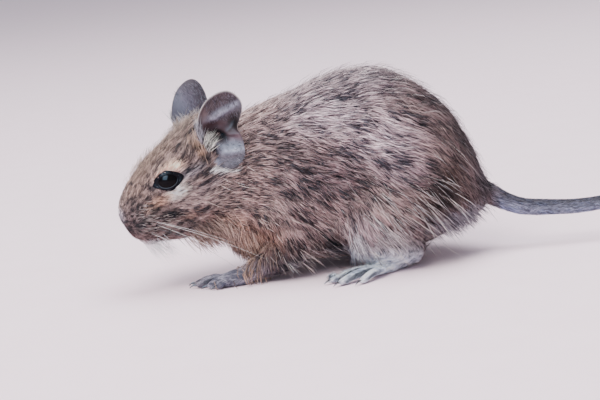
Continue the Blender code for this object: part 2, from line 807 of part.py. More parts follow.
def make_limbs(whole, cutters):
    """The four limbs, each ending a gap above its own foot, and the feet."""
    limbs, feet = [], []
    for kind, word, frame, size, toes, claw_size in foot_frames():
        limb = coarser(whole, kind + "leg_" + word, LIMB_DETAIL)
        combine(limb, copy_of(cutters[kind + "leg_" + word], "region"), "INTERSECT")
        combine(limb, palm_cutter(frame, size), "DIFFERENCE")
        if kind == "fore":
            cut_limbs(limb, [cutters["hindleg_" + word]])
        keep_largest(limb)
        limbs.append(limb)
        feet.append(foot(kind + "foot_" + word, frame, size, toes, claw_size))
    return limbs, feet


def make_eyes(frame):
    return [ball("eye_" + word, eye_centre(side), [EYE_RADIUS] * 3, frame, 3)
            for word, side in (("left", 1), ("right", -1))]


def make_tail():
    """The tail in three lengths, and the brush at its end."""
    lengths = [tail_piece(name, TAIL_CUTS[i], TAIL_CUTS[i + 1], 6) for i, name in enumerate(TAIL_NAMES)]
    return lengths, tail_brush()


def make_neck_and_torso(whole, cutters):
    neck = coarser(whole, "neck", TORSO_DETAIL)
    combine(neck, half_space("ahead", *HEAD_CUT, -GAP / 2), "DIFFERENCE")
    combine(neck, half_space("ahead", *NECK_CUT, GAP / 2), "INTERSECT")
    torso = coarser(whole, "torso", TORSO_DETAIL)
    combine(torso, half_space("ahead", *NECK_CUT, -GAP / 2), "DIFFERENCE")
    root, after = Vector(TAIL[0][:3]), Vector(TAIL[1][:3])
    combine(torso, half_space("behind", root, after - root, -GAP), "DIFFERENCE")
    for kind, word, frame, size, toes, claw_size in foot_frames():
        combine(torso, palm_cutter(frame, size), "DIFFERENCE")
    for obj in (neck, torso):
        cut_limbs(obj, cutters.values())
        keep_largest(obj)
    return [neck, torso]


def stand_at_origin(objects):
    """Put the origin on the floor under the middle of the whole body."""
    places = [obj.matrix_world @ v.co for obj in objects for v in obj.data.vertices]
    low = Vector([min(p[i] for p in places) for i in range(3)])
    high = Vector([max(p[i] for p in places) for i in range(3)])
    middle = (low + high) / 2
    for obj in objects:
        obj.location = (-middle.x, -middle.y, -low.z)


def main():
    clear_scene()
    frame = head_frame()
    whole = flesh(frame)
    cutters = limb_cutters()
    limbs, feet = make_limbs(whole, cutters)
    lengths, brush = make_tail()
    parts = {
        "coat": [make_head(whole, frame)] + make_neck_and_torso(whole, cutters) + limbs,
        "ear": make_ears(whole, frame),
        "eye": make_eyes(frame),
        "foot": feet,
        "tail": lengths,
        "brush": [brush],
    }
    drop(whole, *cutters.values())
    for kind, objects in parts.items():
        for obj in objects:
            paint(obj, kind)
    stand_at_origin([obj for objects in parts.values() for obj in objects])


if __name__ == "__main__":
    main()
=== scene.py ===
"""The looks of a crouching degu: skin, coat, ears, eyes, claws, whiskers, tail and studio.

Lengths are millimetres in the model's own frame: X runs from the nose to the tail,
Y from the animal's left to its right, Z up from the floor. The head has a frame of
its own, with forward, left and crown axes. Meshes turn to metres as they are made.
"""
import math

import bmesh
import bpy
import numpy as np
from mathutils import Matrix, Vector
from mathutils.bvhtree import BVHTree
from mathutils.kdtree import KDTree


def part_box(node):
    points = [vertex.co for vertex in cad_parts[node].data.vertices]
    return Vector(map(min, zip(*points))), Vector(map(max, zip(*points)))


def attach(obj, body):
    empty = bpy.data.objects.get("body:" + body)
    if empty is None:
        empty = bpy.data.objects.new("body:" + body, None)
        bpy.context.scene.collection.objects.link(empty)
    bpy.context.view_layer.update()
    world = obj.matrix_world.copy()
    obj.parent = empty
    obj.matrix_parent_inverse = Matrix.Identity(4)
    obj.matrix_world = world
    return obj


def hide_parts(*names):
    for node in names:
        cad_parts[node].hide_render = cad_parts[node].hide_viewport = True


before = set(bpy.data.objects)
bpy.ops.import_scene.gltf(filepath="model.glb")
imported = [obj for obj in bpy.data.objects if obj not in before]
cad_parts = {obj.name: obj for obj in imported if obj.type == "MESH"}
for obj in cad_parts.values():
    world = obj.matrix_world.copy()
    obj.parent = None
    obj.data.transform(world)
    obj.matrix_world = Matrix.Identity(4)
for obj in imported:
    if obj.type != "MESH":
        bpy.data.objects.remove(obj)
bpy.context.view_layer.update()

MM = 0.001
SEED = 11

# The head's frame, as in the solids
HEAD_AT = (-31.5, -3.0, 45.5)
HEAD_YAW = 20.0
HEAD_PITCH = 26.0
HEAD_ROLL = 3.0
EYE_AT = (18.9, 8.5, 4.5)
EYE_OUT = (0.24, 0.94, 0.20)
EYE_RADIUS = 4.6
CORNEA = 0.035
EYE_DARK = (0.001, 0.001, 0.002)
EYE_BROWN = (0.005, 0.004, 0.004)

# The camera, fitted to the photograph
VIEW_LENS = 91.38
VIEW_FROM = (0.0, -553.75, 127.23)
VIEW_AT = (0.0, 0.0, 25.6)
VIEW_ROLL = 5.7

# Skin
FLESH = (
    "head", "neck", "torso", "foreleg_left", "foreleg_right", "hindleg_left", "hindleg_right",
    "forefoot_left", "forefoot_right", "hindfoot_left", "hindfoot_right",
)
TAIL_NODES = ("tail_base", "tail_middle", "tail_end", "tail_brush")
SWELL = 0.45
FOOT_SWELL = 0.10
SKIN_VOXEL = 0.42
SKIN_ROUNDS = 6
FOOT_EVEN = 0.12
SKIN_FACES = 190000
SKIN_EVEN = 0.5
# How far from the eye's middle the coat starts, how soon it is full, and its least share
EYE_BARE = 5.0
EYE_FADE = 3.0
EYE_LEAST = 0.15

# Feet, as in the solids: node, wrist or heel, turn outward in degrees, side and claw's length
FORE_TURN = 3.0
HIND_TURN = 33.0
FEET = (
    ("forefoot_left", (-18.6, -16.6), FORE_TURN, -1, 2.6),
    ("forefoot_right", (2.4, 16.6), FORE_TURN, 1, 2.6),
    ("hindfoot_left", (40.6, -12.2), HIND_TURN, -1, 3),
    ("hindfoot_right", (40.6, 12.2), HIND_TURN, 1, 3),
)
FORE_LENGTH = 19.0
HIND_LENGTH = 34.0
# Tips of the toes ahead of the heel and outward
FORE_TOES = ((24.6, -4.4), (24.2, -0.8), (20.0, 3.0), (16.6, 5.6), (9.4, -5.6))
HIND_TOES = ((35.6, -6.8), (40.4, -2.4), (40.4, 3.4), (34.6, 8.4), (24.0, -7.6))
# Where the toes part, how thick they are, and how deep the painted shade is in the gaps between them and
# under them
TOE_ROOT = 0.56
TOE_SPLAY = 0.6
TOE_HALF = 0.95
TOE_REACH = 5.0
TOE_HIGH = 6.0
TOE_GAP_SHADE = 0.80
TOE_FADE = 0.35
TOE_UNDER = 1.1
TOE_LOW_SHADE = 0.6

# The tail: along, aside, height, half thickness
TAIL = (
    (66, 0, 22.6, 4.3),
    (69.4, 0, 21.2, 3.9),
    (76, 0, 17.4, 3.35),
    (82, 0, 15, 3.15),
    (92, 0, 13.7, 2.9),
    (104, 0, 13.1, 2.7),
    (118, 0.3, 14.2, 2.5),
    (132, 1, 16.4, 2.3),
    (146, 2.2, 19.2, 2.1),
    (160, 3.8, 22.4, 1.9),
    (174, 5.6, 26, 1.7),
)

# How the coat lies on the body's left: place, way of the hair, length, depth, width
BODY_COMB = (
    ((-12, 0, 60), (1, 0, 0.3), 6, 2, 0.34),
    ((-12, -14, 54), (1, -0.1, 0), 6, 2, 0.34),
    ((-15, -20, 38), (0.95, -0.1, -0.25), 5.6, 2, 0.33),
    ((-20, -10, 20), (0.8, 0, -0.5), 5, 2, 0.32),
    ((-16, -4, 9), (0.8, 0, -0.45), 6, 2.2, 0.32),
    ((-4, -21, 46), (0.92, 0, -0.35), 6.6, 2.4, 0.36),
    ((-4, -23, 32), (0.75, 0, -0.65), 6.6, 2.3, 0.36),
    ((-5, -22, 20), (0.5, 0, -0.85), 6, 2, 0.33),
    ((-5, -21, 9), (0.55, 0, -0.8), 4.6, 1.3, 0.3),
    ((-14, -20, 9), (0.25, 0, -0.95), 3.6, 0.8, 0.25),
    ((-17, -19, 4.5), (-0.75, 0, -0.6), 2.2, 0.34, 0.19),
    ((-25, -18, 4.5), (-0.97, 0, -0.25), 1.7, 0.24, 0.15),
    ((-38, -18, 2.5), (-1, 0, -0.15), 1.2, 0.14, 0.13),
    ((-6, -8, 4), (0.8, 0, -0.55), 7, 2.2, 0.32),
    ((10, -4, 69), (1, 0, 0.15), 7.2, 2.7, 0.38),
    ((32, -4, 73), (1, 0, -0.15), 7.8, 2.9, 0.39),
    ((49, -5, 66), (0.8, 0, -0.6), 8.2, 3, 0.4),
    ((60, -8, 48), (0.5, 0, -0.85), 8.2, 2.8, 0.38),
    ((66, -6, 30), (0.5, 0.1, -0.8), 6.2, 1.8, 0.34),
    ((10, -22, 54), (0.96, 0, -0.25), 7.2, 2.7, 0.38),
    ((8, -25, 38), (0.9, 0, -0.42), 7.6, 2.8, 0.38),
    ((8, -24, 20), (0.8, 0, -0.6), 8, 2.7, 0.37),
    ((8, -12, 5), (0.9, 0, -0.25), 7, 2.2, 0.33),
    ((36, -8, 6), (1, 0, 0), 5.5, 1.8, 0.32),
    ((36, -25, 55), (0.85, 0, -0.5), 8.2, 2.9, 0.4),
    ((37, -30, 36), (0.72, 0, -0.7), 8.6, 2.9, 0.39),
    ((52, -24, 32), (0.6, 0, -0.8), 8.4, 2.9, 0.38),
    ((48, -26, 18), (0.65, 0, -0.7), 7.4, 2.1, 0.35),
    ((22, -30, 24), (0.5, 0, -0.85), 7.4, 2.3, 0.36),
    ((15, -27, 14), (0.45, 0, -0.9), 5.4, 1.5, 0.31),
    ((30, -27, 13), (0.7, 0, -0.65), 4.6, 1, 0.27),
    ((44, -20, 11), (0.5, 0, -0.85), 3.6, 0.8, 0.24),
    ((40, -20, 5), (-0.5, -0.3, -0.8), 1.8, 0.26, 0.17),
    ((29, -27, 6), (-0.8, -0.45, -0.45), 1.7, 0.24, 0.15),
    ((20, -32, 4), (-0.84, -0.54, -0.12), 1.5, 0.18, 0.14),
    ((8, -37, 2), (-0.84, -0.54, -0.15), 1.2, 0.14, 0.13),
    ((75, 0, 19), (0.9, 0, -0.4), 3, 0.45, 0.26),
    ((100, 0, 14), (1, 0, 0.02), 2.4, 0.28, 0.22),
    ((130, 1, 16), (1, 0.1, 0.2), 2.8, 0.32, 0.22),
    ((155, 3, 21), (1, 0.12, 0.23), 8, 0.9, 0.24),
    ((172, 5.4, 25.5), (1, 0.13, 0.25), 17, 0.9, 0.26),
)
# The same on the head's left, in the head's frame
HEAD_COMB = (
    ((38.5, 1.5, 3), (-0.8, 0.25, 0.6), 0.9, 0.15, 0.15),
    ((36.5, 5, 0), (-0.7, 0.35, 0.55), 1.2, 0.28, 0.16),
    ((34.5, 7.5, 0), (-0.65, 0.15, 0.55), 1.7, 0.45, 0.18),
    ((34.2, 8.3, -5), (-0.55, 0.1, -0.65), 1.9, 0.5, 0.19),
    ((37.5, 4, -8.5), (-0.45, 0.1, -0.8), 1.6, 0.4, 0.18),
    ((29, 9.5, -5), (-1, 0.1, -0.25), 2.4, 0.55, 0.2),
    ((28, 3, -15), (-1, 0, -0.5), 2.8, 0.8, 0.22),
    ((30, 3.5, 8), (-0.85, 0.05, 0.5), 2.2, 0.6, 0.21),
    ((20, 4, 12.5), (-0.95, 0.05, 0.35), 2.7, 0.85, 0.23),
    ((10, 4, 15), (-1, 0.05, 0.15), 3.4, 1.15, 0.26),
    ((0, 4, 15.5), (-1, 0, 0), 4.2, 1.5, 0.29),
    ((17, 10.5, 10), (-0.9, 0.15, 0.45), 2, 0.5, 0.21),
    ((26, 9.5, 4), (-0.8, 0.1, 0.45), 1.7, 0.5, 0.2),
    ((27.5, 9.5, -0.5), (-0.95, 0.1, -0.15), 2, 0.5, 0.2),
    ((21, 12.5, -1.5), (-0.95, 0, -0.3), 2.2, 0.55, 0.21),
    ((12, 13.4, 3), (-1, 0, 0.05), 2.6, 0.75, 0.23),
    ((24, 10.8, -7), (-0.95, 0.1, -0.25), 2.8, 0.75, 0.23),
    ((15, 14, -8), (-0.95, 0.1, -0.2), 3.4, 1.1, 0.26),
    ((16, 9, -16), (-0.95, 0, -0.3), 4, 1.3, 0.28),
    ((6, 11.5, 9.5), (-0.5, 0.15, 0.85), 3, 0.9, 0.24),
    ((2, 14.5, -6), (-1, 0, -0.15), 4.4, 1.5, 0.29),
    ((-6, 14, 2), (-1, 0, -0.1), 4.6, 1.5, 0.29),
    ((6, 5, -19), (-1, 0, -0.1), 4.4, 1.5, 0.29),
)
COMB_REACH = 7.0

# Colours, linear: the coat's own ground and what is laid over it
GROUND = (0.300, 0.225, 0.210)
RICH = 1.3
# Body marks on the left: place, reach along three axes, colour, strength
BODY_MARKS = (
    ((12, 0, 66), (32, 26, 22), (0.48, 0.385, 0.405), 0.92),
    ((14, -18, 58), (16, 9, 9), (0.64, 0.535, 0.57), 0.7),
    ((30, -8, 69), (12, 22, 8), (0.4, 0.335, 0.36), 0.6),
    ((54, 0, 64), (13, 26, 15), (0.088, 0.07, 0.076), 0.9),
    ((63, 0, 44), (12, 26, 18), (0.03, 0.023, 0.026), 0.95),
    ((67, 0, 26), (11, 20, 12), (0.036, 0.033, 0.04), 0.96),
    ((52, -27, 25), (13, 12, 13), (0.016, 0.011, 0.01), 0.97),
    ((55, -22, 33), (5, 7, 5), (0.08, 0.048, 0.036), 0.4),
    ((30, -29, 27), (12, 9, 9), (0.33, 0.252, 0.238), 0.8),
    ((58, -16, 15), (12, 12, 4.5), (0.3, 0.27, 0.31), 0.75),
    ((12, -26, 36), (13, 9, 12), (0.18, 0.13, 0.136), 0.85),
    ((8, -24, 18), (10, 8, 9), (0.39, 0.292, 0.285), 0.8),
    ((32, -27, 49), (15, 10, 10), (0.7, 0.57, 0.6), 0.85),
    ((37, -29, 38), (10, 9, 7), (0.44, 0.345, 0.365), 0.8),
    ((-3, -22, 40), (11, 10, 14), (0.27, 0.205, 0.205), 0.7),
    ((-24, -14, 17), (12, 12, 9), (0.5, 0.29, 0.215), 0.92),
    ((-12, -21, 14), (7, 8, 7), (0.23, 0.13, 0.095), 0.7),
    ((10, -26, 22), (5, 8, 8), (0.27, 0.2, 0.18), 0.35),
    ((-16, -19, 34), (9, 9, 12), (0.43, 0.31, 0.29), 0.8),
    ((-10, 0, 58), (12, 18, 9), (0.48, 0.355, 0.34), 0.9),
    ((0, 0, 0), (34, 15, 8), (0.3, 0.23, 0.215), 0.8),
    # Painted shadow low on the chest, behind the foreleg
    ((-8, -20, 6), (11, 9, 8), (0.026, 0.017, 0.017), 0.94),
    ((22, -29, 15), (8, 7, 7), (0.47, 0.38, 0.39), 0.9),
    ((36, -24, 13), (12, 9, 6), (0.19, 0.148, 0.15), 0.75),
    # Painted shadow under the belly, between the fore and hind legs
    ((11, -20, 9), (6, 10, 8), (0.012, 0.009, 0.01), 0.96),
    ((38, -10, 5), (18, 12, 8), (0.16, 0.125, 0.128), 0.7),
    ((-16, -21, 8), (7, 6, 5), (0.085, 0.055, 0.05), 0.88),
    ((-30, -18, 2), (15, 10, 6.5), (0.35, 0.335, 0.395), 1),
    ((22, -28, 2.5), (25, 13, 6.6), (0.84, 0.89, 1), 1),
)
# Head marks on the left, in the head's frame
HEAD_MARKS = (
    ((18, 0, 13), (20, 8, 6), (0.33, 0.235, 0.2), 0.85),
    ((30, 4, 7), (7, 6, 5), (0.42, 0.3, 0.26), 0.8),
    ((34.5, 7.5, -2), (5.5, 6, 7.5), (0.135, 0.098, 0.096), 0.92),
    # Painted shade under the muzzle's tip, about the mouth
    ((39, 0, -4.8), (3.4, 7, 5), (0.05, 0.026, 0.028), 0.94),
    ((39.3, 0, 1.2), (2.4, 3.6, 2.6), (0.56, 0.5, 0.55), 0.88),
    ((16.8, 11.2, 8.2), (6.2, 4.4, 2.2), (1, 0.69, 0.56), 1),
    ((20.6, 12, 7), (4.6, 3.2, 1.5), (1, 0.84, 0.8), 0.98),
    ((18.4, 12.6, 0), (4.2, 3.8, 2.5), (1, 0.92, 0.85), 1),
    ((22.5, 12, 0.2), (3.6, 3, 1.2), (1, 0.76, 0.64), 0.75),
    ((26.4, 10.4, 0), (4.2, 4, 2.4), (0.56, 0.36, 0.28), 0.9),
    ((30, 9.2, -0.5), (2.4, 3, 1.8), (0.36, 0.265, 0.22), 0.6),
    ((26, 9.6, 5.8), (1.7, 3, 1.3), (0.075, 0.055, 0.06), 0.7),
    ((9.5, 13.4, 3.2), (5, 3.6, 1.8), (0.4, 0.355, 0.375), 0.85),
    ((11.2, 13.6, 4.4), (1.8, 3, 0.9), (0.03, 0.024, 0.028), 0.85),
    ((5.6, 9.8, 11.4), (2.6, 4, 4.2), (0.27, 0.2, 0.175), 0.85),
    ((8.8, 12.2, 7.4), (1.4, 3, 3.2), (0.08, 0.056, 0.054), 0.45),
    ((4, 12.4, 8.6), (1.3, 3, 3.6), (0.36, 0.225, 0.15), 0.75),
    ((14, 13.6, -8.4), (9, 5, 4), (0.58, 0.44, 0.415), 0.8),
    ((18.5, 12.6, -10.2), (5, 4, 2.4), (0.26, 0.15, 0.11), 0.6),
    ((2.8, 15, -0.7), (2, 4, 1.1), (1, 0.98, 0.98), 1),
    ((0, 15, -2.4), (2.2, 4, 1.2), (1, 0.98, 0.98), 1),
    ((-2.6, 15, -4.1), (2, 4, 1.1), (1, 0.98, 0.98), 0.9),
    # The ear's second hole by its root, painted black as painted shade
    ((3.4, 14.4, 4.4), (2.8, 4, 1.9), (0.004, 0.003, 0.004), 1),
    ((8, 14.4, -4.2), (6, 4, 2.2), (0.42, 0.335, 0.34), 0.6),
    ((22, 8, -14.5), (9, 6, 3.4), (0.21, 0.165, 0.158), 0.7),
    ((36, 0, -13), (5, 6, 2.4), (0.7, 0.62, 0.63), 0.9),
    ((27.4, 10, -2), (2.8, 3, 1), (0.04, 0.032, 0.03), 0.85),
    ((25.8, 10.6, -4.6), (2, 3, 1.3), (0.04, 0.032, 0.03), 0.85),
    ((24.2, 11, -6.8), (3.2, 3.4, 2.2), (0.004, 0.003, 0.004), 1),
)
TAIL_TOP = (0.110, 0.104, 0.122)
TAIL_SIDE = (0.300, 0.310, 0.385)
TAIL_BRUSH = (0.016, 0.013, 0.014)
TAIL_HUES_FROM = 70.0
TAIL_HUES_FADE = 4.0
BLACK_FROM = 132.0
BLACK_FADE = 16.0
# Mean of a colour from which it counts as bright, and how far to the brightest
BRIGHT_FROM = 0.45
BRIGHT_SPAN = 0.25
# Order of the hairs from dark to pale: by chance, by tuft and by streak
RANK_HAIR = 0.30
RANK_TUFT = 0.30
RANK_STREAK = 0.85
SHORT_HAIR = 2.6
# Shade of dark, pale and tail hairs: the least and what chance or rank adds
DARK_SHADE = (0.10, 0.14)
PALE_SHADE = (0.62, 1.30)
TAIL_SHADE = (0.35, 1.3)
PIT_SHADE = 0.08
# The same along a hair: root, middle and tip
DARK_HAIR = (0.75, 1.0, 0.7)
PALE_HAIR = (0.24, 0.80, 1.25)
TAIL_HAIR = (0.8, 1.0, 1.1)
# What a pale tip gains and what a dark hair leans to
WARM_GAIN = 0.09
WARM_HUE = (1.0, 0.84, 0.80)
COOL_LEAN = (-0.06, 0.0, 0.14)
HUE_RANGE = (0.003, 0.95)
# The flecks' slope on the body, and how much the streaks count over them
FLECK_SLOPE = ((0.9, 0.0, 0.43), (0.0, 1.0, 0.0), (-0.43, 0.0, 0.9))
STREAK_SHARE = 0.88
FLECK_SHARE = 0.12
# How sharply a mark ends, and how many reaches squared away it counts for nothing
MARK_EDGE = 1.5
MARK_FAR = 30.0

# Layers of the coat: tufts, share of the combed length, depth and width, loose lie, share of dark hair
LAYERS = (
    (116000, 1, 1, 1, 0.1, 0.27),
    (13000, 1.3, 1.8, 0.42, 0.17, 0.25),
)
PIECE_TUFTS = 18500
PATCH = 0.003
SKIN_SHADE = 0.30
CLUMP_EVERY = 5
# Sizes of the coat's streaks and flecks, along the hair and twice across it
BODY_STREAK = (4.0, 0.90, 0.72)
BODY_FLECK = (9.0, 4.0, 3.0)
HEAD_STREAK = (3.0, 0.8, 0.65)
HEAD_FROM = -22.0
FOOT_STREAK = (2.6, 0.7, 0.6)
FLOOR_GAP = 0.12
TAIL_FROM = 72.0
BRUSH_FROM = 140.0
FOOT_HAIR = 2.3
FOOT_HIGH = 9.0
# Rows of whisker roots show as dark pits in the hair of each pad
PIT_ROWS = 6
PIT_COLUMNS = 5
PIT_REACH = 0.50

# Long hairs of the left side: place, reach, way, length, lift, width, colour, how many
TRESSES = (
    ((30, -29, 36), (15, 8, 12), (0.8, -0.05, -0.56), 15, 1.5, 0.108, (1, 0.88, 0.84), 105),
    ((42, -27, 31), (13, 9, 11), (0.68, -0.05, -0.7), 18, 1.7, 0.108, (1, 0.88, 0.82), 44),
    ((24, -29, 26), (9, 8, 8), (0.7, -0.05, -0.68), 13.5, 1.4, 0.108, (1, 0.86, 0.82), 95),
    ((13.5, -29, 24), (2, 5, 2), (0.66, -0.05, -0.72), 9.5, 1.3, 0.14, (0.95, 0.88, 0.9), 60),
    ((18, -29, 17.5), (1.8, 5, 3), (0.4, -0.05, -0.92), 9.5, 1.2, 0.14, (0.95, 0.88, 0.92), 65),
    ((26, -29, 15), (9, 5, 4), (0.5, -0.05, -0.85), 6, 0.8, 0.13, (0.62, 0.55, 0.56), 170),
    ((55, -16, 17), (11, 11, 4), (0.74, -0.05, -0.62), 5, 1, 0.17, (0.25, 0.23, 0.26), 560),
    ((62, 0, 50), (10, 22, 20), (0.6, 0, -0.75), 7, 1.9, 0.11, (0.26, 0.22, 0.23), 140),
    ((160, 3.5, 22), (15, 9, 9), (0.95, 0.1, 0.2), 11.5, 2, 0.22, (0.02, 0.016, 0.017), 420),
    ((-17, -18, 13.5), (7, 8, 5), (0.3, -0.05, -0.94), 6, 1.2, 0.13, (0.66, 0.45, 0.36), 90),
    ((-4, -21, 11), (9, 6, 6), (0.62, -0.05, -0.76), 7.5, 1.2, 0.12, (0.9, 0.76, 0.7), 32),
    ((8, -18, 8), (10, 8, 5), (0.8, -0.05, -0.52), 8, 1.2, 0.14, (0.55, 0.46, 0.44), 45),
    ((4, -23, 28), (12, 6, 14), (0.82, -0.05, -0.56), 9, 1.7, 0.15, (0.85, 0.68, 0.62), 55),
    ((-16, -19, 34), (8, 8, 12), (0.92, -0.15, -0.28), 6, 1.3, 0.16, (1, 0.82, 0.74), 90),
    ((20, -10, 66), (40, 16, 8), (1, 0, -0.1), 8.5, 2.4, 0.13, (0.8, 0.7, 0.7), 120),
    ((-32, -8, 21), (8, 8, 5), (0.7, -0.03, -0.71), 8.8, 0.8, 0.26, (0.4, 0.275, 0.225), 950),
    ((-26, -12, 17), (6, 8, 6), (0.3, -0.05, -0.95), 8, 0.9, 0.26, (0.58, 0.4, 0.33), 700),
    ((-21, -15, 13), (5, 6, 6), (0.1, -0.05, -0.98), 7.5, 0.9, 0.26, (0.5, 0.31, 0.23), 350),
)
TRESS_BEND = 85.0
# Four places along a long hair: share of its length, of its lift and of its fall
TRESS_CURVE = ((0.0, 0.0, 0.0), (0.33, 1.0, 0.11), (0.68, 1.25, 0.46), (1.0, 1.1, 1.0))
# The same on the head, in its frame
HEAD_TRESSES = (
    ((25, 0, 11), (9, 6, 3), (-0.8, 0, 0.6), 3.8, 1.4, 0.12, (0.52, 0.38, 0.3), 190),
    ((8, 2, 15.5), (10, 8, 3), (-0.9, 0, 0.45), 4.6, 1.5, 0.13, (0.5, 0.38, 0.31), 150),
    ((34, 8, -3), (4, 3, 6), (-0.75, 0.5, -0.1), 2.6, 0.5, 0.13, (0.55, 0.46, 0.43), 80),
    ((28, 9.5, -8), (5, 3, 3), (-0.95, 0.1, -0.3), 4.2, 0.5, 0.14, (0.6, 0.5, 0.44), 80),
    ((3.6, 12, 8), (2, 3, 4), (-0.3, 0.1, 0.95), 4.6, 0.8, 0.15, (0.66, 0.45, 0.33), 60),
    ((8, 12, 7), (1.2, 3, 3.4), (-0.2, 0.1, 0.97), 4.2, 0.7, 0.15, (0.05, 0.036, 0.036), 12),
    ((1.6, 15.2, -1.4), (2.6, 3, 1.2), (-0.84, 0.1, -0.5), 4.6, 0.5, 0.18, (1, 0.97, 0.97), 110),
    ((-8, 12, -1), (2.2, 5, 1.4), (-0.95, 0.1, -0.28), 5, 0.5, 0.16, (1, 0.97, 0.97), 45),
)


def head_frame():
    """Forward, left and crown of the head as columns."""
    yaw, pitch, roll = (math.radians(a) for a in (HEAD_YAW, HEAD_PITCH, HEAD_ROLL))
    level = Vector((-math.cos(yaw), -math.sin(yaw), 0.0))
    left = Vector((math.sin(yaw), -math.cos(yaw), 0.0))
    forward = level * math.cos(pitch) - Vector((0, 0, math.sin(pitch)))
    up = Vector((0, 0, math.cos(pitch))) + level * math.sin(pitch)
    side = left * math.cos(roll) - up * math.sin(roll)
    crown = up * math.cos(roll) + left * math.sin(roll)
    return Matrix((forward, side, crown)).transposed()


HEAD_TURN = np.array(head_frame())
HEAD_PLACE = np.array(HEAD_AT)


def in_head(points):
    return (points - HEAD_PLACE) @ HEAD_TURN


def from_head(points):
    return np.asarray(points, float) @ HEAD_TURN.T + HEAD_PLACE


def box_middle(node):
    low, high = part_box(node)
    return (np.array(low) + np.array(high)) / 2


SHIFT = box_middle("eye_left") / MM - from_head(EYE_AT)
# Left as it is and right by turning the axis across the body
SIDES = np.array(((1, 1, 1), (1, -1, 1)))


def placed(points):
    """Millimetres of the model's frame as metres of the row's frame."""
    return (np.asarray(points, float) + SHIFT) * MM


def unit(v):
    return v / np.maximum(np.linalg.norm(v, axis=-1, keepdims=True), 1e-9)


def between(rows, t):
    """Rows at places t, from 0 to 1, on a smooth curve through all the rows."""
    table = np.asarray(rows, float)
    place = np.clip(np.atleast_1d(t), 0.0, 1.0) * (len(table) - 1)
    i = np.minimum(place.astype(int), len(table) - 2)
    f = (place - i)[:, None]
    a, b = table[np.maximum(i - 1, 0)], table[i]
    c, d = table[i + 1], table[np.minimum(i + 2, len(table) - 1)]
    square, cube = 2 * a - 5 * b + 4 * c - d, 3 * b - a - 3 * c + d
    return 0.5 * (2 * b + (c - a) * f + square * f ** 2 + cube * f ** 3)


def hashed(cells, salt):
    """A repeatable value from 0 to 1 for each whole-number cell."""
    n = cells[..., 0] * 73856093 ^ cells[..., 1] * 19349663 ^ cells[..., 2] * 83492791 ^ salt * 2654435
    n = (n ^ (n >> 13)) * 1274126177 & 0x7FFFFFFF
    return ((n ^ (n >> 16)) & 0xFFFF) / 65535.0


def noise(points, size, salt=0):
    """Smooth value noise from 0 to 1, with cells of a size or of three sizes."""
    q = points / np.asarray(size, float) + 500.0
    base = np.floor(q).astype(np.int64)
    f = q - base
    f = f * f * (3 - 2 * f)
    total = 0.0
    for corner in np.ndindex(2, 2, 2):
        share = np.prod(np.where(np.array(corner) == 1, f, 1 - f), axis=-1)
        total = total + share * hashed(base + np.array(corner), salt)
    return total


def new_object(name, data):
    obj = bpy.data.objects.new(name, data)
    bpy.context.collection.objects.link(obj)
    return obj


def mesh_from(name, points, faces):
    """A mesh object from arrays, points in millimetres of the model's frame."""
    faces = np.asarray(faces, np.int32)
    mesh = bpy.data.meshes.new(name)
    mesh.vertices.add(len(points))
    mesh.vertices.foreach_set("co", placed(points).astype(np.float32).ravel())
    mesh.loops.add(faces.size)
    mesh.loops.foreach_set("vertex_index", faces.ravel())
    mesh.polygons.add(len(faces))
    mesh.polygons.foreach_set("loop_start", np.arange(0, faces.size, faces.shape[1], dtype=np.int32))
    mesh.polygons.foreach_set("use_smooth", np.ones(len(faces), bool))
    mesh.update(calc_edges=True)
    return new_object(name, mesh)


def close_rims(obj):
    """Fill a mesh's open rims and turn its faces outward."""
    shell = bmesh.new()
    shell.from_mesh(obj.data)
    bmesh.ops.holes_fill(shell, edges=[e for e in shell.edges if e.is_boundary], sides=0)
    bmesh.ops.recalc_face_normals(shell, faces=shell.faces)
    shell.to_mesh(obj.data)
    shell.free()
    obj.data.shade_smooth()


def read_rows(items, field, width, kind=np.int32):
    """One field of a mesh's items as rows of numbers."""
    flat = np.empty(len(items) * width, kind)
    items.foreach_get(field, flat)
    return flat.reshape(-1, width)


def points_of(mesh):
    """A mesh's points in millimetres of the model's frame."""
    return read_rows(mesh.vertices, "co", 3, np.float32).astype(float) / MM - SHIFT


def set_points(mesh, points):
    mesh.vertices.foreach_set("co", placed(points).astype(np.float32).ravel())
    mesh.update()


def normals_of(mesh):
    return read_rows(mesh.vertex_normals, "vector", 3, np.float32).astype(float)


def triangles_of(mesh):
    mesh.calc_loop_triangles()
    return read_rows(mesh.loop_triangles, "vertices", 3)


def evened(values, edges, rounds, share=0.5):
    """Values at points, each drawn towards the mean of its neighbours."""
    count = np.maximum(np.bincount(edges.ravel(), minlength=len(values)), 1)
    for _ in range(rounds):
        mean = np.empty_like(values)
        for k in range(values.shape[1]):
            near = np.bincount(edges[:, 0], values[edges[:, 1], k], len(values))
            far = np.bincount(edges[:, 1], values[edges[:, 0], k], len(values))
            mean[:, k] = (near + far) / count
        values = values + (mean - values) * share
    return values


def edges_of(mesh):
    return read_rows(mesh.edges, "vertices", 2)


def paint_points(obj, colours):
    """A colour for each point of a mesh, held as the attribute that its material reads."""
    layer = obj.data.color_attributes.new("hue", "FLOAT_COLOR", "POINT")
    flat = np.ones((len(colours), 4), np.float32)
    flat[:, :3] = colours
    layer.data.foreach_set("color", flat.ravel())


def comb_rows():
    """All comb rows of both sides in the model's frame."""
    rows = []
    for table, moved, turn in ((BODY_COMB, np.array, np.eye(3)), (HEAD_COMB, from_head, HEAD_TURN)):
        for place, way, *sizes in table:
            for flip in SIDES:
                rows.append((moved(np.array(place) * flip), turn @ (np.array(way) * flip), sizes))
    return [np.array(column, float) for column in zip(*rows)]


COMB_PLACES, COMB_WAYS, COMB_SIZES = comb_rows()


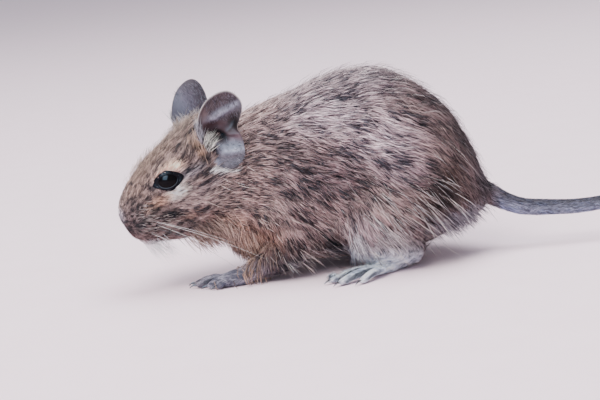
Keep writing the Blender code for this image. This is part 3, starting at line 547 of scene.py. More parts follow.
def combed(points):
    """At each point: the way of the hair and its length, depth and width."""
    ways, sizes = np.empty((len(points), 3)), np.empty((len(points), 3))
    step = 20000
    for start in range(0, len(points), step):
        part = points[start:start + step]
        gap = ((part[:, None, :] - COMB_PLACES[None]) ** 2).sum(-1)
        share = 1.0 / (gap + COMB_REACH) ** 2.2
        share /= share.sum(1, keepdims=True)
        ways[start:start + step] = share @ unit(COMB_WAYS)
        sizes[start:start + step] = share @ COMB_SIZES
    return ways, sizes


def marked(points):
    """The coat's colour at each point, with all its marks, painted shade among them, and painted shade
    about the toes.
    """
    colours = np.tile(np.array(GROUND), (len(points), 1))
    for table, places in ((BODY_MARKS, points), (HEAD_MARKS, in_head(points))):
        sides = [places * flip for flip in SIDES]
        for place, reach, colour, strength in table:
            gap = np.minimum(*((((spots - place) / reach) ** 2).sum(-1) for spots in sides))
            share = np.exp(-np.clip(gap, 0, MARK_FAR) ** MARK_EDGE) * strength
            colours += (np.array(colour) - colours) * share[:, None]
    colours = tail_marked(points, colours)
    grey = colours.mean(1, keepdims=True)
    return np.clip(grey + (colours - grey) * RICH, 0.002, 1.0) * toe_shade(points)[:, None]


def tail_marked(points, colours):
    """The tail darker above, paler at its sides and black in its brush."""
    line = between(TAIL, np.linspace(0.0, 1.0, 200))
    x = points[:, 0]
    height, half = (np.interp(x, line[:, 0], line[:, k]) for k in (2, 3))
    upper = np.clip((points[:, 2] - height) / half * 1.2 + 0.1, 0, 1)[:, None]
    tail = np.array(TAIL_SIDE) * (1 - upper) + np.array(TAIL_TOP) * upper
    black = np.clip((x - BLACK_FROM) / BLACK_FADE, 0, 1)[:, None]
    tail = tail * (1 - black) + np.array(TAIL_BRUSH) * black
    on_tail = np.clip((x - TAIL_HUES_FROM) / TAIL_HUES_FADE, 0, 1)[:, None]
    return colours * (1 - on_tail) + tail * on_tail


def foot_axes(turn, side):
    """Ways ahead and outward of a foot, flat on the floor, as rows."""
    c, s = math.cos(math.radians(turn)), math.sin(math.radians(turn))
    return np.array(((-c, side * s), (s, side * c)))


def foot_toes(name):
    """A foot's length, and each toe's root and tip ahead and outward of the heel."""
    long, toes = (FORE_LENGTH, FORE_TOES) if name.startswith("fore") else (HIND_LENGTH, HIND_TOES)
    roots = [(min(long, far) * TOE_ROOT, wide * TOE_SPLAY) for far, wide in toes]
    return long, list(zip(np.array(roots), np.array(toes)))


def toe_shade(points):
    """Painted shade about the toes: how light the hair is, darker in the gaps between them and under them.
    """
    shade = np.ones(len(points))
    for name, place, turn, side, _ in FEET:
        flat = (points[:, :2] - place) @ foot_axes(turn, side).T
        long, toes = foot_toes(name)
        near = np.full(len(points), 2 * TOE_REACH)
        for root, tip in toes:
            way = tip - root
            t = np.clip((flat - root) @ way / (way @ way), 0, 1)
            near = np.minimum(near, np.linalg.norm(flat - root - t[:, None] * way, axis=1))
        ahead = np.clip((flat[:, 0] - long * TOE_ROOT - 1.0) / 5.0, 0, 1)
        within = ahead * (near < TOE_REACH) * (points[:, 2] < TOE_HIGH)
        # Painted shade: darker in the gaps between the toes and low under them
        dark = np.clip((near - TOE_HALF) / TOE_FADE, 0, 1) * within
        low = np.clip(1 - points[:, 2] / TOE_UNDER, 0, 1) * within
        shade = shade * (1 - TOE_GAP_SHADE * dark) * (1 - TOE_LOW_SHADE * low)
    return shade


def flesh_shell():
    """One closed mesh over all flesh nodes, swollen so that the gaps between them close."""
    whole = bmesh.new()
    for name in FLESH:
        node = bmesh.new()
        node.from_mesh(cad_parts[name].data)
        bmesh.ops.remove_doubles(node, verts=node.verts, dist=0.000001)
        bmesh.ops.recalc_face_normals(node, faces=node.faces)
        node.normal_update()
        swell = FOOT_SWELL if "foot" in name else SWELL
        for v in node.verts:
            v.co += v.normal * (swell * MM)
        spare = bpy.data.meshes.new(name)
        node.to_mesh(spare)
        node.free()
        whole.from_mesh(spare)
        bpy.data.meshes.remove(spare)
    mesh = bpy.data.meshes.new("skin")
    whole.to_mesh(mesh)
    whole.free()
    return new_object("skin", mesh)


def ring_tube(centres, radii, sides):
    """Points and quads of a tube about a line, with its ends closed by fans."""
    ahead = unit(np.gradient(centres, axis=0))
    across = unit(np.cross(ahead, (0.0, 0.0, 1.0)))
    upright = np.cross(across, ahead)
    turn = np.arange(sides) * 2 * math.pi / sides
    circle = across[:, None] * np.cos(turn)[None, :, None] + upright[:, None] * np.sin(turn)[None, :, None]
    points = (centres[:, None] + circle * radii[:, None, None]).reshape(-1, 3)
    faces = []
    for i in range(len(centres) - 1):
        for j in range(sides):
            k = (j + 1) % sides
            a, b = i * sides + j, i * sides + k
            faces += [(a, b, b + sides), (a, b + sides, a + sides)]
    for start, end, flip in ((0, 0, True), (len(centres) - 1, -1, False)):
        points = np.vstack([points, centres[end]])
        tip = len(points) - 1
        for j in range(sides):
            a, b = start * sides + j, start * sides + (j + 1) % sides
            faces.append((tip, b, a) if flip else (tip, a, b))
    return points, faces


def tail_core():
    """The tail's own flesh, as one tube into the rump."""
    rows = between(TAIL, np.linspace(0.0, 1.0, 90))
    points, faces = ring_tube(rows[:, :3], rows[:, 3] + SWELL, 20)
    return mesh_from("tail_core", points, faces)


def settle(obj):
    """Make what the modifiers give the object's own mesh."""
    graph = bpy.context.evaluated_depsgraph_get()
    result = bpy.data.meshes.new_from_object(obj.evaluated_get(graph))
    obj.modifiers.clear()
    obj.data = result


def join(objects):
    bpy.ops.object.select_all(action="DESELECT")
    for obj in objects:
        obj.select_set(True)
    bpy.context.view_layer.objects.active = objects[0]
    bpy.ops.object.join()
    return objects[0]


def keep_largest(mesh):
    """Leave only the mesh's largest connected surface."""
    shell = bmesh.new()
    shell.from_mesh(mesh)
    shell.verts.ensure_lookup_table()
    label = np.full(len(shell.verts), -1)
    sizes = []
    for v in shell.verts:
        if label[v.index] >= 0:
            continue
        label[v.index] = len(sizes)
        todo, count = [v], 0
        while todo:
            here = todo.pop()
            count += 1
            for link in here.link_edges:
                other = link.other_vert(here)
                if label[other.index] < 0:
                    label[other.index] = len(sizes)
                    todo.append(other)
        sizes.append(count)
    if len(sizes) > 1:
        keep = int(np.argmax(sizes))
        bmesh.ops.delete(shell, geom=[v for v in shell.verts if label[v.index] != keep], context="VERTS")
        shell.to_mesh(mesh)
    shell.free()


def on_foot(points):
    """Which points are on the feet, where the hair is shortest."""
    return (combed(points)[1][:, 0] < FOOT_HAIR) & (points[:, 2] < FOOT_HIGH) & (points[:, 0] < TAIL_FROM)


def make_skin():
    """One skin over the whole body, inside the solids by the coat's depth."""
    skin = join([flesh_shell(), tail_core()])
    skin.name = "skin"
    remesh = skin.modifiers.new("whole", "REMESH")
    remesh.mode = "VOXEL"
    remesh.voxel_size = SKIN_VOXEL * MM
    settle(skin)
    keep_largest(skin.data)
    mesh = skin.data
    points = points_of(mesh)
    feet = on_foot(points)[:, None]
    points = evened(points, edges_of(mesh), SKIN_ROUNDS, np.where(feet, FOOT_EVEN, SKIN_EVEN))
    set_points(mesh, points)
    depth = combed(points)[1][:, 1]
    eye_gap = np.linalg.norm(from_eye(points), axis=1)
    depth = depth * np.clip((eye_gap - EYE_BARE) / EYE_FADE, EYE_LEAST, 1.0)
    normals = unit(evened(normals_of(mesh), edges_of(mesh), 4))
    swell = np.where(feet[:, 0], FOOT_SWELL, SWELL)
    points = points - normals * (swell + depth)[:, None]
    set_points(mesh, points)
    faces = len(mesh.polygons) * 2
    if faces > SKIN_FACES:
        thin = skin.modifiers.new("thin", "DECIMATE")
        thin.ratio = SKIN_FACES / faces
        thin.use_collapse_triangulate = True
        settle(skin)
    skin.data.shade_smooth()
    return skin


def from_eye(points):
    """Each point from the nearer eye's middle, in the head's frame with both sides laid on the left."""
    head = in_head(points)
    head[:, 1] = np.abs(head[:, 1])
    return head - np.array(EYE_AT)


def unwrap(obj):
    """The map of the skin's own shape that the coat's patches lie on."""
    obj.data.uv_layers.new(name="OFBake")
    bpy.ops.object.select_all(action="DESELECT")
    obj.select_set(True)
    bpy.context.view_layer.objects.active = obj
    bpy.ops.object.mode_set(mode="EDIT")
    bpy.ops.mesh.select_all(action="SELECT")
    bpy.ops.uv.smart_project(angle_limit=math.radians(66), island_margin=0.002)
    bpy.ops.object.mode_set(mode="OBJECT")


class Ground:
    """What the coat grows from: the skin's triangles, normals and map."""

    def __init__(self, skin):
        mesh = skin.data
        self.points = points_of(mesh)
        self.normals = normals_of(mesh)
        self.triangles = triangles_of(mesh)
        uv = read_rows(mesh.uv_layers["OFBake"].data, "uv", 2, np.float32)
        self.uv = uv[read_rows(mesh.loop_triangles, "loops", 3)]
        a, b, c = (self.points[self.triangles[:, k]] for k in range(3))
        self.areas = np.linalg.norm(np.cross(b - a, c - a), axis=1) / 2
        self.middles = (a + b + c) / 3
        self.tree = KDTree(len(self.points))
        for i, p in enumerate(self.points):
            self.tree.insert(p, i)
        self.tree.balance()
        self.spots = np.zeros((len(self.points), 2))
        self.spots[self.triangles.ravel()] = self.uv.reshape(-1, 2)

    def sample(self, weights, count, draw):
        """Roots drawn over the skin: places, normals and places on the map."""
        total = np.cumsum(self.areas * weights)
        picks = np.searchsorted(total, (np.arange(count) + draw.random(count)) / count * total[-1])
        picks = np.minimum(picks, len(self.triangles) - 1)
        u, v = draw.random(count), draw.random(count)
        over = u + v > 1
        u[over], v[over] = 1 - u[over], 1 - v[over]
        shares = np.stack([1 - u - v, u, v], axis=1)
        corners = self.triangles[picks]
        places = (self.points[corners] * shares[..., None]).sum(1)
        normals = unit((self.normals[corners] * shares[..., None]).sum(1))
        spots = (self.uv[picks] * shares[..., None]).sum(1)
        return places, normals, spots

    def nearest(self, places):
        """For each place, the nearest point of the skin, its normal and its place on the map."""
        found = np.fromiter((self.tree.find(p)[1] for p in places), int, len(places))
        return self.points[found], self.normals[found], self.spots[found]

    def held(self, places, heights):
        """Places moved along the skin's normals to stand at given heights over it."""
        spots, normals, _ = self.nearest(places)
        over = ((places - spots) * normals).sum(1)
        return places + normals * (heights - over)[:, None]


def tuft_mesh(name, lines, across, normals, widths, hues, spots):
    """Closed, flat, tapered tufts as one mesh.

    lines holds each tuft's places from root to tip, widths a width for each place
    but the tip's, hues a colour for each place, spots each root's place on the map.
    """
    count, rings = lines.shape[0], lines.shape[1] - 1
    half = across[:, None] * (widths / 2)[..., None]
    ridge = normals[:, None] * (widths * 0.45)[..., None]
    body = lines[:, :-1]
    points = np.concatenate([
        np.stack([body - half, body + half, body + ridge], axis=2).reshape(count, rings * 3, 3),
        lines[:, -1:],
    ], axis=1)
    per = rings * 3 + 1
    faces = [(0, 2, 1)]
    for i in range(rings - 1):
        a = i * 3
        for j, k in ((0, 1), (1, 2), (2, 0)):
            faces += [(a + j, a + k, a + 3 + k), (a + j, a + 3 + k, a + 3 + j)]
    a = (rings - 1) * 3
    faces += [(a, a + 1, per - 1), (a + 1, a + 2, per - 1), (a + 2, a, per - 1)]
    faces = np.array(faces)
    every = (faces[None] + (np.arange(count) * per)[:, None, None]).reshape(-1, 3)
    obj = mesh_from(name, points.reshape(-1, 3), every)
    colours = np.concatenate([np.repeat(hues[:, :-1], 3, axis=1), hues[:, -1:]], axis=1)
    paint_points(obj, colours.reshape(-1, 3))
    along = np.append(np.repeat(np.arange(rings) / rings, 3), 1.0)
    sideways = np.append(np.tile((0.0, 1.0, 0.5), rings), 0.5)
    patch = spots[:, None] + np.stack([sideways - 0.5, along - 0.5], axis=1)[None] * PATCH
    patch = patch.reshape(-1, 2)[every.ravel()]
    layer = obj.data.uv_layers.new(name="OFBake")
    layer.data.foreach_set("uv", patch.astype(np.float32).ravel())
    return obj


def clumped(roots, tips, draw, pull):
    """Tips drawn together with those of their neighbours."""
    leaders = draw.choice(len(roots), max(len(roots) // CLUMP_EVERY, 1), replace=False)
    tree = KDTree(len(leaders))
    for i, k in enumerate(leaders):
        tree.insert(roots[k], i)
    tree.balance()
    mine = leaders[np.fromiter((tree.find(p)[1] for p in roots), int, len(roots))]
    meeting = tips[mine] + (roots - roots[mine]) * 0.25
    return tips + (meeting - tips) * pull[:, None], mine


def coat_weights(ground):
    """How closely the tufts stand: more on the head, none on nose and eyes, few under the feet."""
    sizes = combed(ground.middles)[1]
    weights = 1.0 / (sizes[:, 0] * sizes[:, 2]) ** 0.62
    head = in_head(ground.middles)
    nose = np.linalg.norm((head - (39.8, 0.0, -0.4)) / (1.6, 2.6, 2.2), axis=1) < 1.0
    weights[nose] = 0.0
    reach, over = almond(ground.middles)
    weights[(reach < LID_EDGE + 0.03) & (over > 0)] = 0.0
    weights[ground.middles[:, 2] < 0.9] *= 0.1
    return weights


def pit_places(ground, side):
    """Where the whiskers of one pad are rooted, in rows from nose to cheek."""
    places = []
    for i in range(PIT_ROWS):
        for j in range(PIT_COLUMNS):
            places.append((37.4 - 1.55 * j - 0.3 * i, (5.6 + 0.75 * j) * side, 1.4 - 1.75 * i - 0.25 * j))
    return ground.nearest(from_head(np.array(places)))


def streaked(roots):
    """Flecks in the coat, from 0 to 1, drawn out along the hair of body and head."""
    sloped = roots @ np.array(FLECK_SLOPE)
    body = noise(sloped, BODY_STREAK, 1) * STREAK_SHARE + noise(sloped, BODY_FLECK, 2) * FLECK_SHARE
    head = noise(in_head(roots), HEAD_STREAK, 3) * 0.8 + 0.1
    body = body + (head - body) * np.clip((HEAD_FROM - roots[:, 0]) / 6.0, 0, 1)
    turn = np.radians(np.where(roots[:, 0] > 0, HIND_TURN, FORE_TURN)) * np.sign(roots[:, 1])
    ahead = roots[:, 0] * np.cos(turn) + roots[:, 1] * -np.sin(turn)
    outward = roots[:, 0] * np.sin(turn) + roots[:, 1] * np.cos(turn)
    foot = noise(np.stack([ahead, outward, roots[:, 2]], axis=1), FOOT_STREAK, 4)
    return np.where(on_foot(roots), foot, body)


def brightness(colours):
    """From 0 to 1, how bright each colour is."""
    return np.clip((colours.mean(1) - BRIGHT_FROM) / BRIGHT_SPAN, 0, 1)


def coat_hues(ground, lines, mine, draw, dark_share):
    """Agouti hair: dark at the root, its own colour, and a pale or a black tip."""
    roots = lines[:, 0]
    count = len(roots)
    own = marked(lines[:, 1] * 0.6 + lines[:, 2] * 0.4)
    rank = draw.random(count) * RANK_HAIR + draw.random(count)[mine] * RANK_TUFT
    rank = rank + streaked(roots) * RANK_STREAK
    rank = np.argsort(np.argsort(rank)) / count
    bright = brightness(own)
    short = np.clip(SHORT_HAIR - combed(roots)[1][:, 0], 0, 1) * (roots[:, 2] < FOOT_HIGH)
    dark_share = dark_share * (1 - 0.85 * bright * (1 - short))
    dark = rank < dark_share
    pale = np.clip((rank - dark_share) / (1.0 - dark_share), 0, 1)
    dark_shade = DARK_SHADE[0] + DARK_SHADE[1] * draw.random(count)
    shade = np.where(dark, dark_shade, PALE_SHADE[0] + PALE_SHADE[1] * pale ** 1.5)
    shade = shade + (1.0 - shade) * short * 0.30
    tail = roots[:, 0] > TAIL_FROM
    shade = np.where(tail, TAIL_SHADE[0] + TAIL_SHADE[1] * draw.random(count) ** 1.5, shade)
    for side in (1, -1):
        for pit in pit_places(ground, side)[0]:
            shade[((roots - pit) ** 2).sum(1) < PIT_REACH ** 2] = PIT_SHADE
    profile = np.where(dark[:, None], DARK_HAIR, PALE_HAIR)
    profile = profile + (1.0 - profile) * (bright * 0.7)[:, None]
    profile = np.where(tail[:, None], TAIL_HAIR, profile)
    hues = own[:, None] * (shade[:, None] * profile)[..., None]
    warm = pale ** 2 * WARM_GAIN * (1 - short) * ~(dark | tail) * np.clip(own.mean(1) / 0.25, 0, 1)
    warm = warm[:, None, None] * np.array((0.0, 0.5, 1.0))[None, :, None]
    hues = hues + warm * np.array(WARM_HUE)
    cool = np.where(dark, 1.0, 0.0)[:, None, None] * np.array(COOL_LEAN)
    return np.clip(hues * (1.0 + cool), *HUE_RANGE)


def grow_layer(ground, layer, salt):
    """One layer of short tufts, as rows for a mesh."""
    count, longer, higher, wider, loose, dark_share = layer
    draw = np.random.default_rng(SEED + salt)
    roots, normals, spots = ground.sample(coat_weights(ground), count, draw)
    ways, sizes = combed(roots)
    calm = np.clip(sizes[:, 0] / 6.0, 0.15, 1.0)
    length = sizes[:, 0] * longer * (0.7 + 0.6 * draw.random(count))
    width = sizes[:, 2] * wider * (0.7 + 0.6 * draw.random(count))
    rise = sizes[:, 1] * higher * (0.45 + 0.75 * draw.random(count))
    swirl = (noise(roots, 8.0, 5) - 0.5) * 0.6 + (noise(roots, 2.6, 6) - 0.5) * 0.55
    ways = ways + np.cross(normals, ways) * (swirl * calm)[:, None]
    ways = ways + draw.normal(0, 1.0, (count, 3)) * (loose * calm)[:, None]
    flat = unit(ways - normals * (ways * normals).sum(1, keepdims=True))
    middle = ground.held(roots + flat * (length * 0.48)[:, None], rise * 0.75)
    tips = ground.held(roots + flat * length[:, None], rise)
    tips, mine = clumped(roots, tips, draw, (0.2 + 0.4 * draw.random(count)) * calm)
    lines = np.stack([roots - normals * 0.2, middle, tips], axis=1)
    lines[..., 2] = np.maximum(lines[..., 2], FLOOR_GAP)
    across = unit(np.cross(normals, flat))
    widths = width[:, None] * np.array((0.8, 1.0))
    hues = coat_hues(ground, lines, mine, draw, dark_share)
    clear = np.ones(count, bool)
    for places in (middle, tips):
        reach, over = almond(places)
        clear &= ~((reach < LID_EDGE) & (over > 0))
    return [row[clear] for row in (lines, across, normals, widths, hues, spots)]


def grow_tresses(ground):
    """Long loose hairs over flank and haunch, and the fringes of thigh, chest and belly."""
    draw = np.random.default_rng(SEED + 40)
    made = []
    body, head = ground.middles, in_head(ground.middles)
    rows = [(body, np.eye(3), *row) for row in TRESSES] + [(head, HEAD_TURN, *row) for row in HEAD_TRESSES]
    for middles, turn, place, reach, way, length, lift, width, colour, count in rows:
        for flip in SIDES:
            gap = (middles - np.array(place) * flip) / reach
            weights = np.exp(-(gap ** 2).sum(1) * 1.2)
            roots, normals, spots = ground.sample(weights, count, draw)
            ways = unit(turn @ (np.array(way) * flip) + draw.normal(0, 0.10, (count, 3)))
            swirl = (noise(roots, 5.0, 8) - 0.5)[:, None] * np.cross(normals, ways)
            ways = unit(ways + swirl * 0.5)
            longs = length * (0.6 + 0.7 * draw.random(count))[:, None]
            lifts = lift * (0.4 + 0.9 * draw.random(count))[:, None]
            ends = ways - normals * np.minimum((ways * normals).sum(1, keepdims=True), 0.0)
            fall = np.array((0.0, 0.0, -0.10)) * longs - normals * longs ** 2 / TRESS_BEND
            lines = [roots + ends * longs * a + normals * lifts * b + fall * c for a, b, c in TRESS_CURVE]
            lines = np.stack(lines, axis=1)
            lines[..., 2] = np.maximum(lines[..., 2], FLOOR_GAP)
            tone = np.where(draw.random(count) < 0.25, 0.30, 0.70 + 0.50 * draw.random(count))
            tone = tone * (0.55 + 0.90 * noise(roots, (1.6, 1.6, 2.4), 9))
            hues = np.array(colour) * tone[:, None, None] * np.array((0.45, 0.8, 1.0, 1.1))[None, :, None]
            widths = width * (0.7 + 0.6 * draw.random(count))[:, None] * np.array((0.8, 1.0, 0.75))
            across = unit(np.cross(normals, ends))
            made.append((lines, across, normals, widths, np.clip(hues, *HUE_RANGE), spots))
    return [np.concatenate(column) for column in zip(*made)]


def grow_ear_hair(ground):
    """Hair on both ears: the cream tuft at the front, fringes, fuzz and the fur of the back."""
    draw = np.random.default_rng(SEED + 60)
    made = []
    for middle, spread, turn, turns, length, lift, width, colour, dark, count, back in EAR_HAIR:
        for side in (1, -1):
            out = ear_axes(side)[0]
            face = -out if back else out
            flat = np.array(middle) + draw.uniform(-1, 1, (count, 2)) * spread
            angle = np.radians(draw.normal(turn, turns, count))
            step = np.stack([np.cos(angle), np.sin(angle)], axis=1)
            longs = length * (0.65 + 0.6 * draw.random(count))[:, None]
            lifts = lift * (0.5 + 0.8 * draw.random(count))[:, None]
            lines = []
            for share, height in ((0.0, -0.15), (0.5, 0.8), (1.0, 1.0)):
                here = flat + step * longs * share
                degrees = np.degrees(np.arctan2(here[:, 1], here[:, 0])) % 360.0
                ring = np.hypot(here[:, 0], here[:, 1]) / ear_reach(degrees)
                lines.append(ear_points(side, degrees, ring, back) + face * lifts * height)
            degrees = np.degrees(np.arctan2(flat[:, 1], flat[:, 0])) % 360.0
            within = np.hypot(flat[:, 0], flat[:, 1]) / ear_reach(degrees) < 0.99
            lines = from_head(np.stack(lines, axis=1))
            normals = np.tile(HEAD_TURN @ face, (count, 1))
            across = unit(np.cross(normals, lines[:, 2] - lines[:, 0]))
            widths = width * (0.7 + 0.6 * draw.random(count))[:, None] * np.array((0.8, 1.0))
            tone = np.where(draw.random(count) < dark, 0.12, 0.7 + 0.5 * draw.random(count))
            hues = np.array(colour) * tone[:, None, None] * np.array((0.6, 0.9, 1.1))[None, :, None]
            spots = ground.nearest(lines[:, 0])[2]
            rows = (lines, across, normals, widths, np.clip(hues, *HUE_RANGE), spots)
            made.append([row[within] for row in rows])
    return [np.concatenate(column) for column in zip(*made)]


def split_coat(rows):
    """The coat's tufts as named pieces with their slots: body, feet, tail and brush."""
    roots = rows[0][:, 0]
    tail = roots[:, 0] > TAIL_FROM
    brush = roots[:, 0] > BRUSH_FROM
    feet = on_foot(roots)
    pieces = []
    for name, slot, chosen in (
        ("coat", "coat", ~(tail | feet)),
        ("foot_hair", "foot_skin", feet),
        ("tail_hair", "tail_skin", tail & ~brush),
        ("brush_hair", "tail_brush", brush),
    ):
        picks = np.nonzero(chosen)[0]
        picks = picks[np.argsort(roots[picks, 0], kind="stable")]
        parts = math.ceil(len(picks) / PIECE_TUFTS)
        for i, part in enumerate(np.array_split(picks, parts)):
            pieces.append((tuft_mesh(f"{name}_{i + 1:02d}", *(row[part] for row in rows)), slot))
    return pieces


def eye_axes(side):
    """Outward, forward and upward axes of an eye in the head's frame."""
    out = (Vector(EYE_OUT) * Vector((1, side, 1))).normalized()
    ahead = (Vector((1, 0, 0)) - out * out.x).normalized()
    up = ahead.cross(out)
    return out, ahead, up if up.z > 0 else -up


def make_eye(word, side, material):
    """A polished eyeball with a slightly fuller cornea."""
    shell = bmesh.new()
    bmesh.ops.create_uvsphere(shell, u_segments=64, v_segments=40, radius=1.0)
    turn = np.array(Vector(HEAD_TURN @ eye_axes(side)[0]).to_track_quat("Z", "Y").to_matrix())
    points = np.array([v.co for v in shell.verts])
    faces = [[v.index for v in f.verts] for f in shell.faces]
    shell.free()
    bulge = 1.0 + CORNEA * np.exp(-((1 - points[:, 2]) / 0.25) ** 2)
    points = points * (EYE_RADIUS * bulge)[:, None] @ turn.T
    middle = box_middle("eye_" + word) / MM - SHIFT
    mesh = bpy.data.meshes.new("eyeball_" + word)
    mesh.from_pydata(placed(points + middle).tolist(), [], faces)
    mesh.shade_smooth()
    eye = new_object("eyeball_" + word, mesh)
    mesh.materials.append(material)
    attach(eye, "root")
    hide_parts("eye_" + word)


def grid_faces(rows, columns):
    """Quads of a grid of points, closed round its rows."""
    faces = []
    for i in range(rows - 1):
        for j in range(columns):
            k = (j + 1) % columns
            faces.append((i * columns + j, i * columns + k, (i + 1) * columns + k, (i + 1) * columns + j))
    return faces


LID_LENGTH = 6.0
LID_HEIGHT = 3.9
LID_TILT = 17.0
LID_EDGE = 0.90
LID_POINT = 1.4
UNDER = -9.0
# Across a lid from under the ball to under the hair: share of reach, height off the ball and off the skin
LID_SECTION = (
    (0.52, -0.9, UNDER), (0.56, 0.02, UNDER), (0.6, 0.32, UNDER), (0.66, 0.5, UNDER),
    (0.74, 0.52, 0.15), (0.82, 0.44, 0.28), (0.9, 0.3, 0.3), (0.98, 0.1, 0.12), (1.08, -0.5, -0.5),
    (1.2, -1.8, -1.6),
)
LID_BLACK = (0.003, 0.003, 0.005)
LID_PAINTED_REFLECTION = (0.090, 0.092, 0.105)


def lid_axes(side):
    """Outward, forward and upward axes of an eye's almond, tilted along its corners."""
    out, ahead, up = (np.array(tuple(v)) for v in eye_axes(side))
    tilt = math.radians(LID_TILT)
    c, s = math.cos(tilt), math.sin(tilt)
    return out, ahead * c + up * s, up * c - ahead * s


def almond(points):
    """Each point's reach from the nearer eye, 1 at its lids' outline, and its height over the middle."""
    out, ahead, up = lid_axes(1)
    gap = from_eye(points)
    along, high = np.abs(gap @ ahead) / LID_LENGTH, np.abs(gap @ up) / LID_HEIGHT
    return (along ** LID_POINT + high ** LID_POINT) ** (1 / LID_POINT), gap @ out


# How far out a ray starts, and the steps round a lid
RAY_FROM = 12.0
LID_STEPS = 96


def skin_height(tree, place, out):
    """How far out of the eye's middle plane the skin lies at a place, in the head's frame."""
    start = from_head(place + out * RAY_FROM)
    hit = tree.ray_cast(Vector(start), Vector(HEAD_TURN @ -out), 2 * RAY_FROM)
    return RAY_FROM - hit[3] if hit[0] is not None else UNDER


def make_lids(word, side, material, tree):
    """Both lids as one black almond rim on the eyeball, with a painted reflection as a pale wet line along
    its lower edge.
    """
    out, ahead, up = lid_axes(side)
    place = np.array(EYE_AT) * (1.0, side, 1.0)
    points, colours = [], []
    for share, over_ball, over_skin in LID_SECTION:
        power = 2.0 - (2.0 - LID_POINT) * np.clip((share - 0.60) / 0.25, 0, 1)
        for j in range(LID_STEPS):
            angle = 2 * math.pi * j / LID_STEPS
            c, s = math.cos(angle), math.sin(angle)
            round_off = (abs(c) ** power + abs(s) ** power) ** (1 / power)
            flat = np.array((LID_LENGTH * c, LID_HEIGHT * s)) * (share / round_off)
            spot = place + ahead * flat[0] + up * flat[1]
            rise = math.sqrt(max(EYE_RADIUS ** 2 - flat @ flat, 0.5)) + over_ball
            if over_skin > UNDER:
                rise = max(rise, skin_height(tree, spot, out) + over_skin)
            points.append(spot + out * rise)
            # A painted reflection: a pale wet line along the lower lid's inner edge
            wet = max(-s, 0.0) * math.exp(-((share - 0.58) / 0.02) ** 2)
            colours.append(np.array(LID_BLACK) * (1 - wet) + np.array(LID_PAINTED_REFLECTION) * wet)
    points = from_head(np.array(points))
    lid = mesh_from("lids_" + word, points, grid_faces(len(LID_SECTION), LID_STEPS))
    paint_points(lid, np.array(colours))
    close_rims(lid)
    lid.data.materials.append(material)
    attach(lid, "root")


# The ear: its middle in the head's frame, the way it opens and the way it stands
EAR_AT = (-4.5, 17.5, 8.0)
EAR_OUT = (0.34, 0.93, 0.10)
EAR_UP = (-0.25, 0.0, 0.95)
EAR_THICK = 0.55
EAR_DEPTH = 4.2
EAR_ROOT = 3.4
EAR_LOWER_LIFT = 0.9
EAR_TUCK = 3.2
EAR_TUCK_AT = 322.0
EAR_STEPS = 160
EAR_RINGS = 34
EAR_OUTLINE = (
    (0, 8.8), (20, 9.5), (45, 11), (65, 13.2), (85, 15.6), (107, 17.4),
    (120, 16.4), (133, 13.7), (141, 9.8), (150, 6.6), (175, 5.9), (214, 7.4),
    (235, 9.4), (255, 10.8), (280, 11.6), (308, 10.4), (335, 9.2),
)
# Folds of the cup: front and up in the ear's plane, reach along and across, turn, depth
EAR_FOLDS = (
    ((1.6, 0.4), (2.9, 1.6), 40, 3.2),
    ((5, -4.9), (1.7, 2.6), 0, 1.5),
    ((-5, 3.6), (2.1, 2.8), 0, 1),
    ((3.4, 4.8), (3.4, 1.9), 10, 0.9),
    ((-1.8, 8.8), (7, 1.5), 166, -0.8),
    ((-2.8, 0.6), (3.4, 0.9), 10, -0.9),
    ((-1.5, -5.2), (5.4, 2), 0, -0.7),
)
# Colours of the bare ear, in its plane in the same way, with painted sheen and highlights on the cup and
# the back and painted shade in its hollows and holes
EAR_INSIDE = (0.062, 0.047, 0.050)
EAR_OUTSIDE = (0.044, 0.032, 0.044)
EAR_SHEEN = (0.090, 0.070, 0.102)
EAR_RIM = (0.520, 0.470, 0.460)
EAR_MARKS = (
    ((5.2, 9), (3.2, 4.4), 0, (0.115, 0.082, 0.08), 0.6),
    ((-8, 12), (3, 4), 0, (0.045, 0.037, 0.046), 0.6),
    # A painted sheen band across the upper cup, with two brighter painted highlights in it
    ((-1.8, 9), (7.2, 1.8), 166, (0.165, 0.163, 0.205), 0.8),
    ((0.2, 8.4), (3.2, 1.1), 160, (0.36, 0.375, 0.45), 0.8),
    ((-5.6, 10.2), (3.2, 0.8), 155, (0.3, 0.315, 0.39), 0.75),
    # Painted shade in the cup: its front hollow, its dark red middle and its rear hollow
    ((3.4, 4.8), (4, 2.3), 12, (0.02, 0.006, 0.008), 0.96),
    ((-0.6, 3.4), (2.4, 2), 0, (0.036, 0.014, 0.016), 0.85),
    ((-5, 3.8), (2.3, 3.6), 0, (0.008, 0.003, 0.003), 1),
    ((-3.6, -0.8), (3.6, 1.9), 0, (0.1, 0.064, 0.076), 0.75),
    ((-1.5, -3.2), (5.4, 1.7), 0, (0.12, 0.122, 0.16), 0.7),
    # On the lower lobe a pale bluish painted sheen band, with a painted highlight line along it
    ((-1.5, -4.9), (5.6, 1.8), 0, (0.2, 0.216, 0.275), 0.85),
    ((-2.4, -5.1), (3.6, 0.6), 4, (0.4, 0.44, 0.52), 0.7),
    ((1, -8.6), (6, 2.4), 0, (0.11, 0.107, 0.13), 0.75),
    ((4.9, -8.2), (1.7, 1.2), 0, (0.19, 0.185, 0.25), 0.7),
    # The canal and the second hole, painted black as painted shade
    ((1.3, 0.6), (3.2, 1.7), 40, (0.002, 0.001, 0.002), 1),
    ((5, -4.9), (1.6, 2.5), 8, (0.003, 0.002, 0.004), 1),
    ((-3, -10.6), (3.4, 0.8), 8, (0.02, 0.016, 0.018), 0.8),
)


